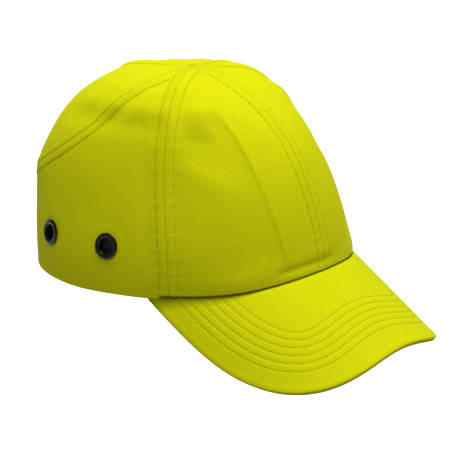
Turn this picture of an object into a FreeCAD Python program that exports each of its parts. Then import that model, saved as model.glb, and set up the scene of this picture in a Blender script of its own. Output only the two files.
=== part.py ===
"""Bump cap: a six-panel textile cap with a curved peak, a removable hard insert and a rear strap.

Millimetres. The origin is the middle of the head opening, at the hem's level. +Z is up as worn,
the front faces -Y and the wearer's right is -X.
"""

import FreeCAD
import Part
import math
import os

V = FreeCAD.Vector

# Crown, outside of the cloth
HALF_LENGTH = 108.0         # middle to front or rear, at the hem
HALF_WIDTH = 96.0
HEIGHT = 134.5              # hem level to the apex
APEX_SHIFT = 4.0            # the apex sits this far behind the middle
ROUND_FRONT = 1.64          # superellipse exponent of the front, side and rear profiles
ROUND_SIDE = 2.42
ROUND_REAR = 2.46
SHOULDER = (0.030, -0.012, 0.056)      # fullness at mid height: all round, front to rear, sides
SHOULDER_SKEW = (0.031, 0.043, -0.069)  # moves that fullness up or down
REAR_CORNERS = 0.040        # how square the plan is behind the ears
PLAN_SQUARE = -0.025
HEM_RISE = 14.5             # the hem's height at the middle of the front

# Peak
PEAK_PITCH = math.radians(32.7)
PEAK_BEND_R = 95.8          # radius that the peak is bent to, across the cap
PEAK_REACH = 60.4           # in front of the crown, measured level
PEAK_HALF_WIDTH = 90.0
PEAK_CORNERS = 3.2          # superellipse exponent of its outline
PEAK_END = math.radians(70.5)   # where the peak's seam ends, round from the front
PEAK_BACK = 33.0            # how far in front of the middle its outline starts
PEAK_SEAM_GAP = 0.4
COVER = 0.9
COVER_SPAN = 0.98           # how much of the seam's half width the covers take, and the board below
BOARD = 2.0
BOARD_SPAN = 0.84
BOARD_SEAM_GAP = 2.0
BOARD_INSET = 6.4           # the board stops this far inside the peak's edge
UNDER_TAPER = 4.2           # the under cover rises to the upper one over this width

# Cloth seams and openings
CLOTH = 1.0
PLY_GAP = 0.1               # between two sewn layers
SIDE_SEAM = math.radians(70.2)   # the front/side seam near the top, round from the front
SIDE_SEAM_SWAY = math.radians(-5.1)   # how much further forward it is at the hem
SIDE_SEAM_BEND = 0.45
APEX_RHO = 0.02             # panels stop this short of the apex
SEAM_SPLIT = 0.0005         # half the gap between two panels, in chart units
TAPE = 0.5
TAPE_HALF_WIDTH = 8.0
TAPE_TOP, SIDE_TAPE_TOP = 0.07, 0.10    # chart radii where the seam tapes end near the apex
REAR_TAPE = (0.17, 0.87)    # the part of the rear seams that is taped
FACING = 0.8
FACING_HEIGHT = 17.0
FACING_CLEAR = 1.0          # from the hem or the arch to the facing's edge, and to the tapes
FACING_END = math.radians(131.0)
ARCH_FACING = 10.5
ARCH_FACING_START = 0.62    # radians round the arch from the hem
ARCH_HALF_WIDTH = 44.0
ARCH_HEIGHT = 50.0
ARCH_ROUND = 2.4
ARCH_JOIN_X = 25.0          # where the rear seams meet the arch
HEM_LEVEL = math.radians(105.0)     # behind this the hem is level

# Vents
EYELETS = ((math.radians(91.0), 31.0), (math.radians(118.0), 29.5))
EYELET_R = 8.75
EYELET_HOLE_R = 5.25
EYELET_BARREL_R = 5.9
EYELET_CLOTH_R = 6.0
FLANGE_EDGE, FLANGE_CREST = 0.35, 1.35
ROLL = 0.8
WASHER_R = 8.2
WASHER_DEPTH = 1.5
WASHER = 0.6

# Hard insert
SHELL_DEPTH = 4.2           # from the outside of the cloth to the shell
SHELL_REAR_SET_IN = 6.0     # further in at the rear, to pass the strap and buckle
SET_IN_TURN = (math.radians(120.0), math.radians(148.0))
SHELL = 1.7
BAND_RISE = 1.7             # how proud the shell's centre band stands
BAND_HALF_WIDTH = 33.0
RIM_FRONT = 23.0            # height of the shell's rim
RIM_SIDE = 14.0
RIM_REAR = 60.0
RIM_TURN = (math.radians(120.0), math.radians(150.0))
PAD = 5.0
SWEATBAND = 2.5
SWEATBAND_END = math.radians(122.0)
SHELL_TOP_HOLE_R = 4.0
# Side vent slots: degrees round from the front, height, half length and lean in degrees
SLOTS = ((52, 62, 8, 8), (66, 64, 9, 4), (80, 65, 9, 0), (94, 65, 9, 0), (108, 64, 9, -4), (122, 62, 8, -8))
SLOT_R = 2.6
CREST_HOLES_Y = (-44.0, -22.0, 26.0, 48.0)
CREST_HOLE_X, CREST_HOLE_R = 15.0, 3.0
SHELL_VENT_R = 5.0          # behind each eyelet
CROWN_PAD_LENGTH, CROWN_PAD_WIDTH = 88.0, 76.0
CROWN_PAD_GAP = 0.3
CROWN_PAD_HOLE_R, CROWN_PAD_HOLES_X, CROWN_PAD_HOLES_Y = 4.0, 20.0, 24.0
# Pads: first and last degree round from the front, first and last chart radius
FRONT_PAD = (-34, 34, 0.50, 0.70)
SIDE_PAD = (58, 112, 0.50, 0.72)
REAR_PAD = (146, 214, 0.42, 0.66)
SWEATBAND_DROP = 6.0        # below the shell's rim
SWEATBAND_HEIGHT = 34.0
PATCH_TURNS = (40.0, 122.0)     # middles of the hook and loop patches, in degrees
PATCH_HALF_TURN = 7.0
PATCH_Z = (76.0, 96.0)
LOOP = 0.8
PATCH_GAP = 0.3             # between hooks and loops

# Rear strap and clamp buckle
STRAP_R = 128.0             # outside of the strap, about its own centre
STRAP_BACK = 107.0          # outside of the strap at the middle of the rear
STRAP_CENTRE_Y = STRAP_BACK - STRAP_R
STRAP = 1.6
STRAP_Z = (2.0, 22.0)
STRAP_X = (-75.0, 46.5)     # the strap's two ends at the loosest setting
POCKET_X = (48.0, 84.0)
POCKET_Z = (0.6, 27.0)
POCKET = 0.6
POCKET_RISE, POCKET_CLOSE = 0.07, 0.25     # share of its height and length that the bulge takes to rise
POCKET_ON_FACING = (0.50, 0.75)            # where along its length it climbs onto the hem facing
POCKET_LEAST, POCKET_CLEAR = 2.0, 1.6
POCKET_STEPS = 24
STRAP_ROUND = 4.0
TAB_FROM, TAB = 1.95, 0.55  # below the strap's outside, and thick
TAB_TO_X = 62.0
TAB_Z = (5.2, 18.8)
TAB_LOOP = 2.6              # depth of the tab's loop
TAB_LOOP_END = 0.7
BUCKLE_X = 28.5

# Clamp buckle: u along the strap, w outward from the strap's outside, z up
BASE_U, BASE_W, BASE_Z = (-10.0, 11.0), (-3.4, -2.3), (0.4, 23.6)
EAR, EAR_TO_U, EAR_TO_W, EAR_ROUND = 1.2, -3.0, 5.0, 1.5
BAR_U, BAR_W, BAR_Z = (9.8, 16.4), (-4.7, -3.6), (3.0, 21.0)
BAR_EYE_U, BAR_EYE_Z = (12.0, 14.6), (4.6, 19.4)
TAB_LOOP_U = (13.6, 18.2)
LEVER_TO_U, LEVER_W, LEVER_Z = 8.0, (1.3, 2.7), (1.75, 22.25)
KNUCKLE_R = 2.1
TIP_U, TIP, TIP_LEAN = (7.2, 10.2), 1.2, 22.0
LIP_U, LIP_W, LIP_Z = (-6.0, -3.4), (0.15, 2.0), (3.0, 21.0)
RIBS, RIB_R, RIB_U, RIB_STEP, RIB_MARGIN = 5, 0.35, 2.0, 1.3, 2.0
PIN_R = 1.0
PIN_CLEARANCE = 0.05
PIN_U, PIN_W, PIN_Z = -6.5, 2.9, (0.2, 23.8)

# Care label, on the wearer's left: degrees round from the front, height and thickness
LABEL_TURN, LABEL_Z, LABEL = (91, 103), (3.0, 16.0), 0.3

os.makedirs("parts", exist_ok=True)


def smooth(x):
    """0 below 0, 1 above 1, and an S-curve between."""
    x = min(max(x, 0.0), 1.0)
    return x * x * (3.0 - 2.0 * x)


def blend3(parts, psi):
    return parts[0] + parts[1] * math.cos(psi) + parts[2] * math.cos(2 * psi)


# ---------------------------------------------------------------- crown surface

def plan_factor(psi, r):
    """How far the plan differs from an ellipse."""
    corners = REAR_CORNERS * (math.cos(3 * psi) - math.cos(psi))
    square = PLAN_SQUARE * (math.cos(4 * psi) - 1)
    return 1 + (corners + square) * r


def profile_exponent(psi):
    c = math.cos(psi)
    mean = (ROUND_FRONT + ROUND_REAR) / 2
    return ROUND_SIDE + (ROUND_FRONT - ROUND_REAR) / 2 * c + (mean - ROUND_SIDE) * c * c


def peak_height(x, forward):
    """Height of the peak's top, and of the hem that meets it."""
    bend = PEAK_BEND_R - math.sqrt(PEAK_BEND_R ** 2 - x * x)
    return HEM_RISE - math.tan(PEAK_PITCH) * (forward - HALF_LENGTH) - bend


def hem_height(psi):
    a = min(abs(psi), PEAK_END)
    m = plan_factor(a, 1.0)
    z = peak_height(HALF_WIDTH * math.sin(a) * m, HALF_LENGTH * math.cos(a) * m)
    return z * (1 - smooth((abs(psi) - PEAK_END) / (HEM_LEVEL - PEAK_END)))


def hem_tilt(psi):
    z = hem_height(psi) / HEIGHT
    n = profile_exponent(psi)
    return math.atan2(z, (1 - z ** n) ** (1 / n))


def crown(p, q):
    """Outside of the cloth. The chart (p, q) is a disc: its middle is the apex and its rim the hem."""
    rho, psi = math.hypot(p, q), math.atan2(p, q)
    n = profile_exponent(psi)
    a = math.pi / 2 * rho - hem_tilt(psi) * rho ** 4
    s, k = math.sin(a), math.cos(a)
    full = math.sin(2 * a) ** 2
    scale = (abs(s) ** n + abs(k) ** n) ** (-1 / n)
    scale *= 1 + full * (blend3(SHOULDER, psi) + blend3(SHOULDER_SKEW, psi) * math.cos(2 * a))
    r = scale * s
    m = plan_factor(psi, r)
    x = -HALF_WIDTH * r * math.sin(psi) * m
    y = -HALF_LENGTH * r * math.cos(psi) * m + APEX_SHIFT * (1 - r * r)
    return V(x, y, HEIGHT * scale * k)


def slopes(p, q):
    h = 1e-4
    along_p = (crown(p + h, q) - crown(p - h, q)) * (0.5 / h)
    along_q = (crown(p, q + h) - crown(p, q - h)) * (0.5 / h)
    return along_p, along_q


def normal(p, q):
    along_p, along_q = slopes(p, q)
    n = along_p.cross(along_q)
    n.normalize()
    return n if n.dot(crown(p, q) - V(0, 0, HEIGHT / 4)) > 0 else n * -1


def skin(p, q, depth):
    """A point that lies depth inside the cloth's outer surface."""
    return crown(p, q) - normal(p, q) * depth


def polar(rho, psi):
    return rho * math.sin(psi), rho * math.cos(psi)


def rho_at(psi, z):
    """Chart radius at which the crown is z high."""
    low, high = 0.02, 1.06
    for _ in range(40):
        mid = (low + high) / 2
        if crown(*polar(mid, psi)).z > z:
            low = mid
        else:
            high = mid
    return low


def rear_chart(x, z):
    """Chart point on the rear wall, x across to the wearer's right and z high."""
    rho, psi, h = 0.9, math.pi - x / HALF_WIDTH, 1e-4
    for _ in range(12):
        here = crown(*polar(rho, psi))
        dr = (crown(*polar(rho + h, psi)) - here) * (1 / h)
        da = (crown(*polar(rho, psi + h)) - here) * (1 / h)
        ex, ez = -x - here.x, z - here.z
        det = dr.x * da.z - da.x * dr.z
        rho += (ex * da.z - da.x * ez) / det
        psi += (dr.x * ez - ex * dr.z) / det
    return polar(rho, psi)


# ---------------------------------------------------------------- solids

def closed(faces):
    sewn = Part.makeCompound(faces)
    sewn.sewShape(0.01)
    solid = Part.makeSolid(sewn.Shells[0])
    if solid.Volume < 0:
        solid.reverse()
    return solid


def between(outer, inner):
    """Solid between two grids of points of the same shape."""
    surfaces = []
    for grid in (outer, inner):
        surface = Part.BSplineSurface()
        surface.interpolate(grid)
        surfaces.append(surface)
    a, b = surfaces
    faces = [a.toShape(), b.toShape()]
    for pick in (0, 1):
        faces.append(Part.makeRuledSurface(a.uIso(a.bounds()[pick]).toShape(),
                                           b.uIso(b.bounds()[pick]).toShape()))
        faces.append(Part.makeRuledSurface(a.vIso(a.bounds()[2 + pick]).toShape(),
                                           b.vIso(b.bounds()[2 + pick]).toShape()))
    return closed(faces)


def layer(chart, outside, inside, across, along):
    """Solid between two depths over a patch. chart(s, t) gives a chart point for s, t from 0 to 1."""
    grids = []
    for depth in (outside, inside):
        rows = []
        for i in range(across + 1):
            row = []
            for j in range(along + 1):
                p, q = chart(i / across, j / along)
                row.append(skin(p, q, depth(p, q) if callable(depth) else depth))
            rows.append(row)
        grids.append(rows)
    return between(*grids)


def coons(bottom, top, left, right):
    """Chart patch between four curves. bottom and top run with s, left and right with t."""
    def chart(s, t):
        out = []
        for k in (0, 1):
            edges = (1 - t) * bottom(s)[k] + t * top(s)[k] + (1 - s) * left(t)[k] + s * right(t)[k]
            corners = ((1 - s) * (1 - t) * bottom(0)[k] + s * (1 - t) * bottom(1)[k]
                       + (1 - s) * t * top(0)[k] + s * t * top(1)[k])
            out.append(edges - corners)
        return tuple(out)
    return chart


def strip(curve, half_width, outside, inside, along, across=4):
    """Tape along a chart curve, half_width each side of it, measured on the cap."""
    def chart(s, t):
        p, q = curve(t)
        h = 1e-3
        a, b = curve(max(t - h, 0)), curve(min(t + h, 1))
        run = crown(*b) - crown(*a)
        side = normal(p, q).cross(run)
        side.normalize()
        side = side * (half_width * (2 * s - 1))
        sp, sq = slopes(p, q)
        pp, pq, qq = sp.dot(sp), sp.dot(sq), sq.dot(sq)
        det = pp * qq - pq * pq
        return (p + (side.dot(sp) * qq - side.dot(sq) * pq) / det,
                q + (side.dot(sq) * pp - side.dot(sp) * pq) / det)
    return layer(chart, outside, inside, across, along)


def mirrored(shape):
    return shape.mirror(V(0, 0, 0), V(1, 0, 0))


def chart_spline(points):
    """Smooth curve through chart points, as a function of t from 0 to 1."""
    curve = Part.BSplineCurve()
    curve.interpolate([V(p, q, 0) for p, q in points])
    first, last = curve.FirstParameter, curve.LastParameter

    def at(t):
        v = curve.value(first + (last - first) * t)
        return v.x, v.y
    return at


def save(name, shape):
    shape.exportStep("parts/" + name + ".step")
    good = shape.isValid() and shape.Volume > 0
    print("%-28s %s %3d solid(s) %9.1f mm3" % (name, "ok " if good else "BAD", len(shape.Solids),
                                               shape.Volume))


def save_pair(name, shape):
    save(name + "_right", shape)
    save(name + "_left", mirrored(shape))


# ---------------------------------------------------------------- seams

def arch(angle):
    """Edge of the rear opening, from 0 at the hem on the wearer's right to a half turn on the left."""
    c, s = math.cos(angle), math.sin(angle)
    k = (abs(c) ** ARCH_ROUND + abs(s) ** ARCH_ROUND) ** (-1 / ARCH_ROUND)
    return rear_chart(ARCH_HALF_WIDTH * k * c, max(ARCH_HEIGHT * k * s, 0.0))


def arch_join_angle():
    low, high = 0.2, math.pi / 2
    for _ in range(40):
        mid = (low + high) / 2
        c, s = math.cos(mid), math.sin(mid)
        k = (c ** ARCH_ROUND + s ** ARCH_ROUND) ** (-1 / ARCH_ROUND)
        if ARCH_HALF_WIDTH * k * c > ARCH_JOIN_X:
            low = mid
        else:
            high = mid
    return low


JOIN = arch_join_angle()
REAR_SEAM = chart_spline([(0.004, -0.001), (0.19, -0.006), (0.35, -0.085), (0.465, -0.205),
                          (0.50, -0.37), (0.45, -0.55), (0.33, -0.69), arch(JOIN)])


def meridian(psi, start, end):
    return lambda t: polar(start + (end - start) * t, psi)


def side_seam(rho):
    """How far round from the front the front/side seam runs."""
    return SIDE_SEAM + SIDE_SEAM_SWAY * smooth((rho - SIDE_SEAM_BEND) / (1 - SIDE_SEAM_BEND))


def side_seam_line(start, end):
    def at(t):
        rho = start + (end - start) * t
        return polar(rho, side_seam(rho))
    return at


def beside(curve, gap):
    """A chart curve moved sideways by gap, to the left of its direction."""
    def at(t):
        p, q = curve(t)
        a, b = curve(max(t - 1e-3, 0)), curve(min(t + 1e-3, 1))
        dp, dq = b[0] - a[0], b[1] - a[1]
        size = math.hypot(dp, dq)
        return p - dq / size * gap, q + dp / size * gap
    return at


# ---------------------------------------------------------------- textile cap

def front_panel():
    def chart(s, t):
        rho = 1 + (APEX_RHO - 1) * t
        split = SEAM_SPLIT / rho
        return polar(rho, split + (side_seam(rho) - 2 * split) * s)
    return layer(chart, 0.0, CLOTH, 12, 14)


def side_panel():
    corner = math.atan2(*arch(0.0))
    split = SEAM_SPLIT
    first = math.hypot(*REAR_SEAM(0.0))
    foot = side_seam(1.0) + split

    def left(t):
        rho = 1 + (first - 1) * t
        return polar(rho, side_seam(rho) + split)
    chart = coons(
        bottom=lambda s: polar(1.0, foot + (corner - foot) * s),
        top=beside(REAR_SEAM, split),
        left=left,
        right=lambda t: arch(JOIN * t))
    panel = layer(chart, 0.0, CLOTH, 18, 14)
    for psi, z in EYELETS:
        panel = panel.cut(vent_axis_cylinder(psi, z, EYELET_CLOTH_R, 6.0))
    return panel


def rear_panel():
    split = SEAM_SPLIT
    seam = beside(REAR_SEAM, -split)

    def skip(t):
        return 0.04 + 0.96 * t
    first = seam(skip(0))
    chart = coons(
        bottom=lambda s: (first[0] * (1 - s) + split * s, first[1] * (1 - s) - APEX_RHO * s),
        top=lambda s: arch(JOIN + (math.pi / 2 - JOIN) * s * 0.999),
        left=lambda t: seam(skip(t)),
        right=lambda t: (split, -APEX_RHO + (arch(math.pi / 2)[1] + APEX_RHO) * t))
    return layer(chart, 0.0, CLOTH, 8, 12)


def vent_frame(psi, z):
    """Centre and outward direction of a vent."""
    p, q = polar(rho_at(psi, z), psi)
    return crown(p, q), normal(p, q)


def vent_axis_cylinder(psi, z, radius, reach):
    centre, out = vent_frame(psi, z)
    return Part.makeCylinder(radius, 2 * reach, centre - out * reach, out)


def turned(profile, psi, z, dome=None):
    """Solid of revolution about a vent's axis. profile is (radius, height above the cloth).

    dome is the crest of an arc that closes the profile, in place of a straight line.
    """
    points = [V(r, 0, h) for r, h in profile]
    edges = [Part.makeLine(a, b) for a, b in zip(points, points[1:])]
    if dome:
        edges.append(Part.Arc(points[-1], V(dome[0], 0, dome[1]), points[0]).toShape())
    else:
        edges.append(Part.makeLine(points[-1], points[0]))
    ring = Part.Face(Part.Wire(edges)).revolve(V(0, 0, 0), V(0, 0, 1), 360)
    centre, out = vent_frame(psi, z)
    ring.Placement = FreeCAD.Placement(centre, FreeCAD.Rotation(V(0, 0, 1), out))
    return ring


def eyelet(psi, z):
    """Domed flange outside, barrel through the cloth and a rolled end over the washer."""
    roll_top = -WASHER_DEPTH - WASHER - 0.05
    roll_end = roll_top - ROLL
    profile = [
        (EYELET_HOLE_R, FLANGE_EDGE), (EYELET_HOLE_R, roll_end), (EYELET_BARREL_R + ROLL, roll_end),
        (EYELET_BARREL_R + ROLL, roll_top), (EYELET_BARREL_R, roll_top),
        (EYELET_BARREL_R, 0.05), (EYELET_R, 0.05), (EYELET_R, FLANGE_EDGE)]
    return turned(profile, psi, z, dome=((EYELET_R + EYELET_HOLE_R) / 2, FLANGE_CREST))


def washer(psi, z):
    top, low = -WASHER_DEPTH, -WASHER_DEPTH - WASHER
    inner = EYELET_BARREL_R + 0.05
    return turned([(inner, low), (WASHER_R, low), (WASHER_R, top), (inner, top)], psi, z)


def textile():
    save_pair("front_panel", front_panel())
    save_pair("side_panel", side_panel())
    save_pair("rear_panel", rear_panel())
    inside = CLOTH + PLY_GAP

    def low(psi):
        return rho_at(psi, hem_height(psi) + FACING_HEIGHT + 2 * FACING_CLEAR)

    def tape(curve, along):
        return strip(curve, TAPE_HALF_WIDTH, inside, inside + TAPE, along)
    save("seam_tape_front", tape(meridian(0.0, low(0.0), TAPE_TOP), 12))
    save_pair("seam_tape_side", tape(side_seam_line(low(side_seam(1.0)), SIDE_TAPE_TOP), 12))
    start, end = REAR_TAPE
    save_pair("seam_tape_rear", tape(lambda t: REAR_SEAM(start + (end - start) * t), 16))
    here = crown(*arch(math.pi / 2))
    above_arch = rho_at(math.pi, here.z + ARCH_FACING + 3 * FACING_CLEAR)
    save("seam_tape_rear_centre", tape(meridian(math.pi, above_arch, SIDE_TAPE_TOP), 10))

    def facing_chart(s, t):
        psi = -FACING_END + 2 * FACING_END * t
        z = hem_height(psi) + FACING_CLEAR + FACING_HEIGHT * s
        return polar(rho_at(psi, z), psi)
    save("hem_facing", layer(facing_chart, inside, inside + FACING, 3, 44))

    def arch_chart(s, t):
        angle = ARCH_FACING_START + (math.pi - 2 * ARCH_FACING_START) * t
        p, q = arch(angle)
        a, b = arch(angle - 0.01), arch(angle + 0.01)
        run = crown(*b) - crown(*a)
        side = normal(p, q).cross(run)
        side.normalize()
        side = side * (FACING_CLEAR + ARCH_FACING * s) * (-1 if side.z < 0 else 1)
        here = crown(p, q) + side
        return rear_chart(-here.x, here.z)
    save("arch_facing", layer(arch_chart, inside, inside + TAPE, 2, 20))

    for side in ("right", "left"):
        for where, (psi, z) in zip(("front", "rear"), EYELETS):
            ring, disc = eyelet(psi, z), washer(psi, z)
            if side == "left":
                ring, disc = mirrored(ring), mirrored(disc)
            save("eyelet_%s_%s" % (side, where), ring)
            save("eyelet_washer_%s_%s" % (side, where), disc)


# ---------------------------------------------------------------- peak

def peak_point(x, forward, depth):
    root = math.sqrt(PEAK_BEND_R ** 2 - x * x)
    up = V(x / root, -math.tan(PEAK_PITCH), 1.0)
    up.normalize()
    return V(x, -forward, peak_height(x, forward)) - up * depth


def peak_edge(turn):
    """The peak's outline in plan, for turn from -1 at the right end to 1 at the left."""
    c, k = math.cos(turn * math.pi / 2), math.sin(turn * math.pi / 2)
    scale = (abs(c) ** PEAK_CORNERS + abs(k) ** PEAK_CORNERS) ** (-1 / PEAK_CORNERS)
    ahead = HALF_LENGTH + PEAK_REACH - PEAK_BACK
    return V(PEAK_HALF_WIDTH * scale * k, -PEAK_BACK - ahead * scale * c, 0)


def peak_plan(turn, seam_gap, inset):
    """Plan places of the peak's seam and edge, moved away from the crown and in from the outline."""
    seam = crown(*polar(1.0, -turn * PEAK_END))
    out = normal(*polar(1.0, -turn * PEAK_END))
    seam.z = out.z = 0
    out.normalize()
    run = peak_edge(turn + 1e-3) - peak_edge(turn - 1e-3)
    inward = V(-run.y, run.x, 0)
    inward.normalize()
    return seam + out * seam_gap, peak_edge(turn) + inward * inset


def peak_layer(depth, thick, seam_gap=PEAK_SEAM_GAP, inset=0.0, span=COVER_SPAN):
    """Layer of the peak. depth takes the level distance from the edge."""
    across, along = 48, 12
    outer, inner = [], []
    for i in range(across + 1):
        seam, edge = peak_plan(span * (2 * i / across - 1), seam_gap, inset)
        rows = [], []
        for j in range(along + 1):
            left = (1 - j / along) ** 2
            at = edge + (seam - edge) * left
            outside = depth((edge - seam).Length * left)
            for row, down in zip(rows, (outside, outside + thick)):
                row.append(peak_point(at.x, -at.y, down))
        outer.append(rows[0])
        inner.append(rows[1])
    return between(outer, inner)


def peak():
    under_top = COVER + PLY_GAP

    def under_depth(d):
        return under_top + (BOARD + PLY_GAP) * smooth(d / UNDER_TAPER)
    save("peak_cover_top", peak_layer(lambda d: 0.0, COVER))
    save("peak_board", peak_layer(lambda d: under_top, BOARD, BOARD_SEAM_GAP, BOARD_INSET, BOARD_SPAN))
    save("peak_cover_under", peak_layer(under_depth, COVER))


# ---------------------------------------------------------------- hard insert

def rim_height(psi):
    front = (RIM_FRONT - RIM_SIDE) * max(math.cos(psi), 0.0) ** 1.5
    start, end = RIM_TURN
    return RIM_SIDE + front + (RIM_REAR - RIM_SIDE) * smooth((abs(psi) - start) / (end - start))


def slot(psi, z, half_length, lean):
    """Cutter for a round-ended vent slot, leaning from upright by lean."""
    centre, out = vent_frame(psi, z)
    start = centre + out * 4
    cutter = None
    for end in (-1, 1):
        hole = Part.makeCylinder(SLOT_R, 20, V(0, end * half_length, 0), V(0, 0, -1))
        cutter = hole if cutter is None else cutter.fuse(hole)
    bar = Part.makeBox(2 * SLOT_R, 2 * half_length, 20, V(-SLOT_R, -half_length, -20))
    cutter = cutter.fuse(bar)
    up = V(0, 0, 1) - out * out.z
    up.normalize()
    across = up.cross(out)
    tilt = FreeCAD.Rotation(out, lean)
    turn = FreeCAD.Rotation(tilt.multVec(across), tilt.multVec(up), out, "ZXY")
    cutter.Placement = FreeCAD.Placement(start, turn)
    return cutter


def shell_depth(p, q):
    """Depth of the shell's outside. It steps in at the rear."""
    turn = abs(math.atan2(p, q))
    start, end = SET_IN_TURN
    back = smooth((turn - start) / (end - start))
    return SHELL_DEPTH + SHELL_REAR_SET_IN * back * smooth((math.hypot(p, q) - 0.30) / 0.40)


def below(depth, extra):
    return lambda p, q: depth(p, q) + extra


def shell():
    def half(s, t):
        psi = math.pi * s
        return polar(0.045 + (rho_at(psi, rim_height(psi)) - 0.045) * t, psi)
    right = layer(half, shell_depth, below(shell_depth, SHELL), 36, 16)
    body = right.fuse(mirrored(right))

    def band(s, t):
        start, end = -0.40, rho_at(0.0, RIM_FRONT + 4.0)
        q = start + (end - start) * t
        width = BAND_HALF_WIDTH / (HALF_WIDTH * (1.50 - 0.52 * q * q))
        return (2 * s - 1) * width, q
    body = body.fuse(layer(band, below(shell_depth, -BAND_RISE), below(shell_depth, SHELL / 2), 10, 22))
    cutters = [Part.makeCylinder(SHELL_TOP_HOLE_R, 30, V(0, APEX_SHIFT, HEIGHT - 20), V(0, 0, 1))]
    for side in (1, -1):
        for psi, z, half_length, lean in SLOTS:
            cutters.append(slot(side * math.radians(psi), z, half_length, side * lean))
        for psi, z in EYELETS:
            centre, out = vent_frame(side * psi, z)
            cutters.append(Part.makeCylinder(SHELL_VENT_R, 20, centre, out * -1))
        for along in CREST_HOLES_Y:
            foot = V(side * CREST_HOLE_X, along, HEIGHT - 40)
            cutters.append(Part.makeCylinder(CREST_HOLE_R, 60, foot, V(0, 0, 1)))
    return body.cut(cutters)


def lining(chart, across, along, thick, gap=PLY_GAP):
    """Pad glued inside the shell."""
    start = SHELL + gap
    return layer(chart, below(shell_depth, start), below(shell_depth, start + thick), across, along)


def sector(first, last, rho_from, rho_to):
    """Chart patch between two directions, in degrees, and two chart radii."""
    return lambda s, t: polar(rho_from + (rho_to - rho_from) * t, math.radians(first + (last - first) * s))


def insert():
    save("inner_shell", shell())
    square = lining(lambda s, t: (-0.34 + 0.68 * s, -0.38 + 0.72 * t), 10, 10, PAD, CROWN_PAD_GAP)
    rim = Part.Ellipse(V(0, 0, 0), CROWN_PAD_LENGTH / 2, CROWN_PAD_WIDTH / 2)
    outline = Part.Face(Part.Wire(rim.toShape())).extrude(V(0, 0, HEIGHT))
    outline.rotate(V(0, 0, 0), V(0, 0, 1), 90)
    outline.translate(V(0, APEX_SHIFT, 0))
    pad = square.common(outline)
    for angle in range(0, 360, 60):
        turn = math.radians(angle + 30)
        foot = V(CROWN_PAD_HOLES_X * math.sin(turn), APEX_SHIFT + CROWN_PAD_HOLES_Y * math.cos(turn), 1)
        pad = pad.cut(Part.makeCylinder(CROWN_PAD_HOLE_R, HEIGHT, foot))
    save("crown_pad", pad)
    save("front_pad", lining(sector(*FRONT_PAD), 10, 5, PAD))
    save_pair("side_pad", lining(sector(*SIDE_PAD), 10, 5, PAD))
    save("rear_pad", lining(sector(*REAR_PAD), 10, 8, PAD))

    def sweat_chart(s, t):
        psi = -SWEATBAND_END + 2 * SWEATBAND_END * t
        z = rim_height(psi) - SWEATBAND_DROP + SWEATBAND_HEIGHT * s
        return polar(rho_at(psi, z), psi)
    save("sweatband", lining(sweat_chart, 5, 44, SWEATBAND))

    hooks, loops = [], []
    sewn = CLOTH + PLY_GAP
    for middle in PATCH_TURNS:
        def chart(s, t):
            psi = math.radians(middle + PATCH_HALF_TURN * (2 * s - 1))
            return polar(rho_at(psi, PATCH_Z[0] + (PATCH_Z[1] - PATCH_Z[0]) * t), psi)
        loop = layer(chart, sewn, sewn + LOOP, 4, 4)
        hook = layer(chart, sewn + LOOP + PATCH_GAP, SHELL_DEPTH - PLY_GAP, 4, 4)
        loops += [loop, mirrored(loop)]
        hooks += [hook, mirrored(hook)]
    save("loop_patches", Part.makeCompound(loops))
    save("hook_patches", Part.makeCompound(hooks))


# ---------------------------------------------------------------- rear strap

def arc_slab(r_in, r_out, x_from, x_to, z_from, z_to):
    """Curved strip about the strap's centre, between two places across the rear."""
    def at(r, x):
        turn = math.asin(x / STRAP_R)
        return V(r * math.sin(turn), STRAP_CENTRE_Y + r * math.cos(turn), z_from)
    mid = (x_from + x_to) / 2
    edges = [Part.Arc(at(r_out, x_from), at(r_out, mid), at(r_out, x_to)).toShape(),
             Part.makeLine(at(r_out, x_to), at(r_in, x_to)),
             Part.Arc(at(r_in, x_to), at(r_in, mid), at(r_in, x_from)).toShape(),
             Part.makeLine(at(r_in, x_from), at(r_out, x_from))]
    return Part.Face(Part.Wire(edges)).extrude(V(0, 0, z_to - z_from))


def rounded_ends(shape, radius):
    """Rounds the strap's corners, seen from behind."""
    edges = [e for e in shape.Edges if e.Length < 2 * STRAP
             and abs(e.tangentAt(e.FirstParameter).z) < 0.01]
    return shape.makeFillet(radius, edges)


def at_buckle(shape):
    turn = math.asin(BUCKLE_X / STRAP_R)
    place = V(STRAP_R * math.sin(turn), STRAP_CENTRE_Y + STRAP_R * math.cos(turn), 0)
    shape.Placement = FreeCAD.Placement(place, FreeCAD.Rotation(V(0, 0, 1), -math.degrees(turn)))
    return shape


def box(u, w, z):
    return Part.makeBox(u[1] - u[0], w[1] - w[0], z[1] - z[0], V(u[0], w[0], z[0]))


def buckle_frame():
    """Base behind the strap, two ears for the pin, and a stepped-in bar for the anchor tab."""
    frame = box(BASE_U, BASE_W, BASE_Z)
    for low in (BASE_Z[0], BASE_Z[1] - EAR):
        frame = frame.fuse(box((BASE_U[0], EAR_TO_U), (BASE_W[0], EAR_TO_W), (low, low + EAR)))
    frame = frame.fuse(box((BAR_U[0], BASE_U[1]), (BAR_W[0], BASE_W[1]), BAR_Z))
    frame = frame.fuse(box(BAR_U, BAR_W, BAR_Z))
    frame = frame.cut(box(BAR_EYE_U, (BAR_W[0] - 1.0, BASE_W[0] + 1.0), BAR_EYE_Z))
    frame = frame.cut(Part.makeCylinder(PIN_R, 30, V(PIN_U, PIN_W, -2))).removeSplitter()
    tops = [e for e in frame.Edges if e.CenterOfMass.y > EAR_TO_W - 0.1
            and abs(e.tangentAt(e.FirstParameter).z) > 0.99]
    return frame.makeFillet(EAR_ROUND, tops)


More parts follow.
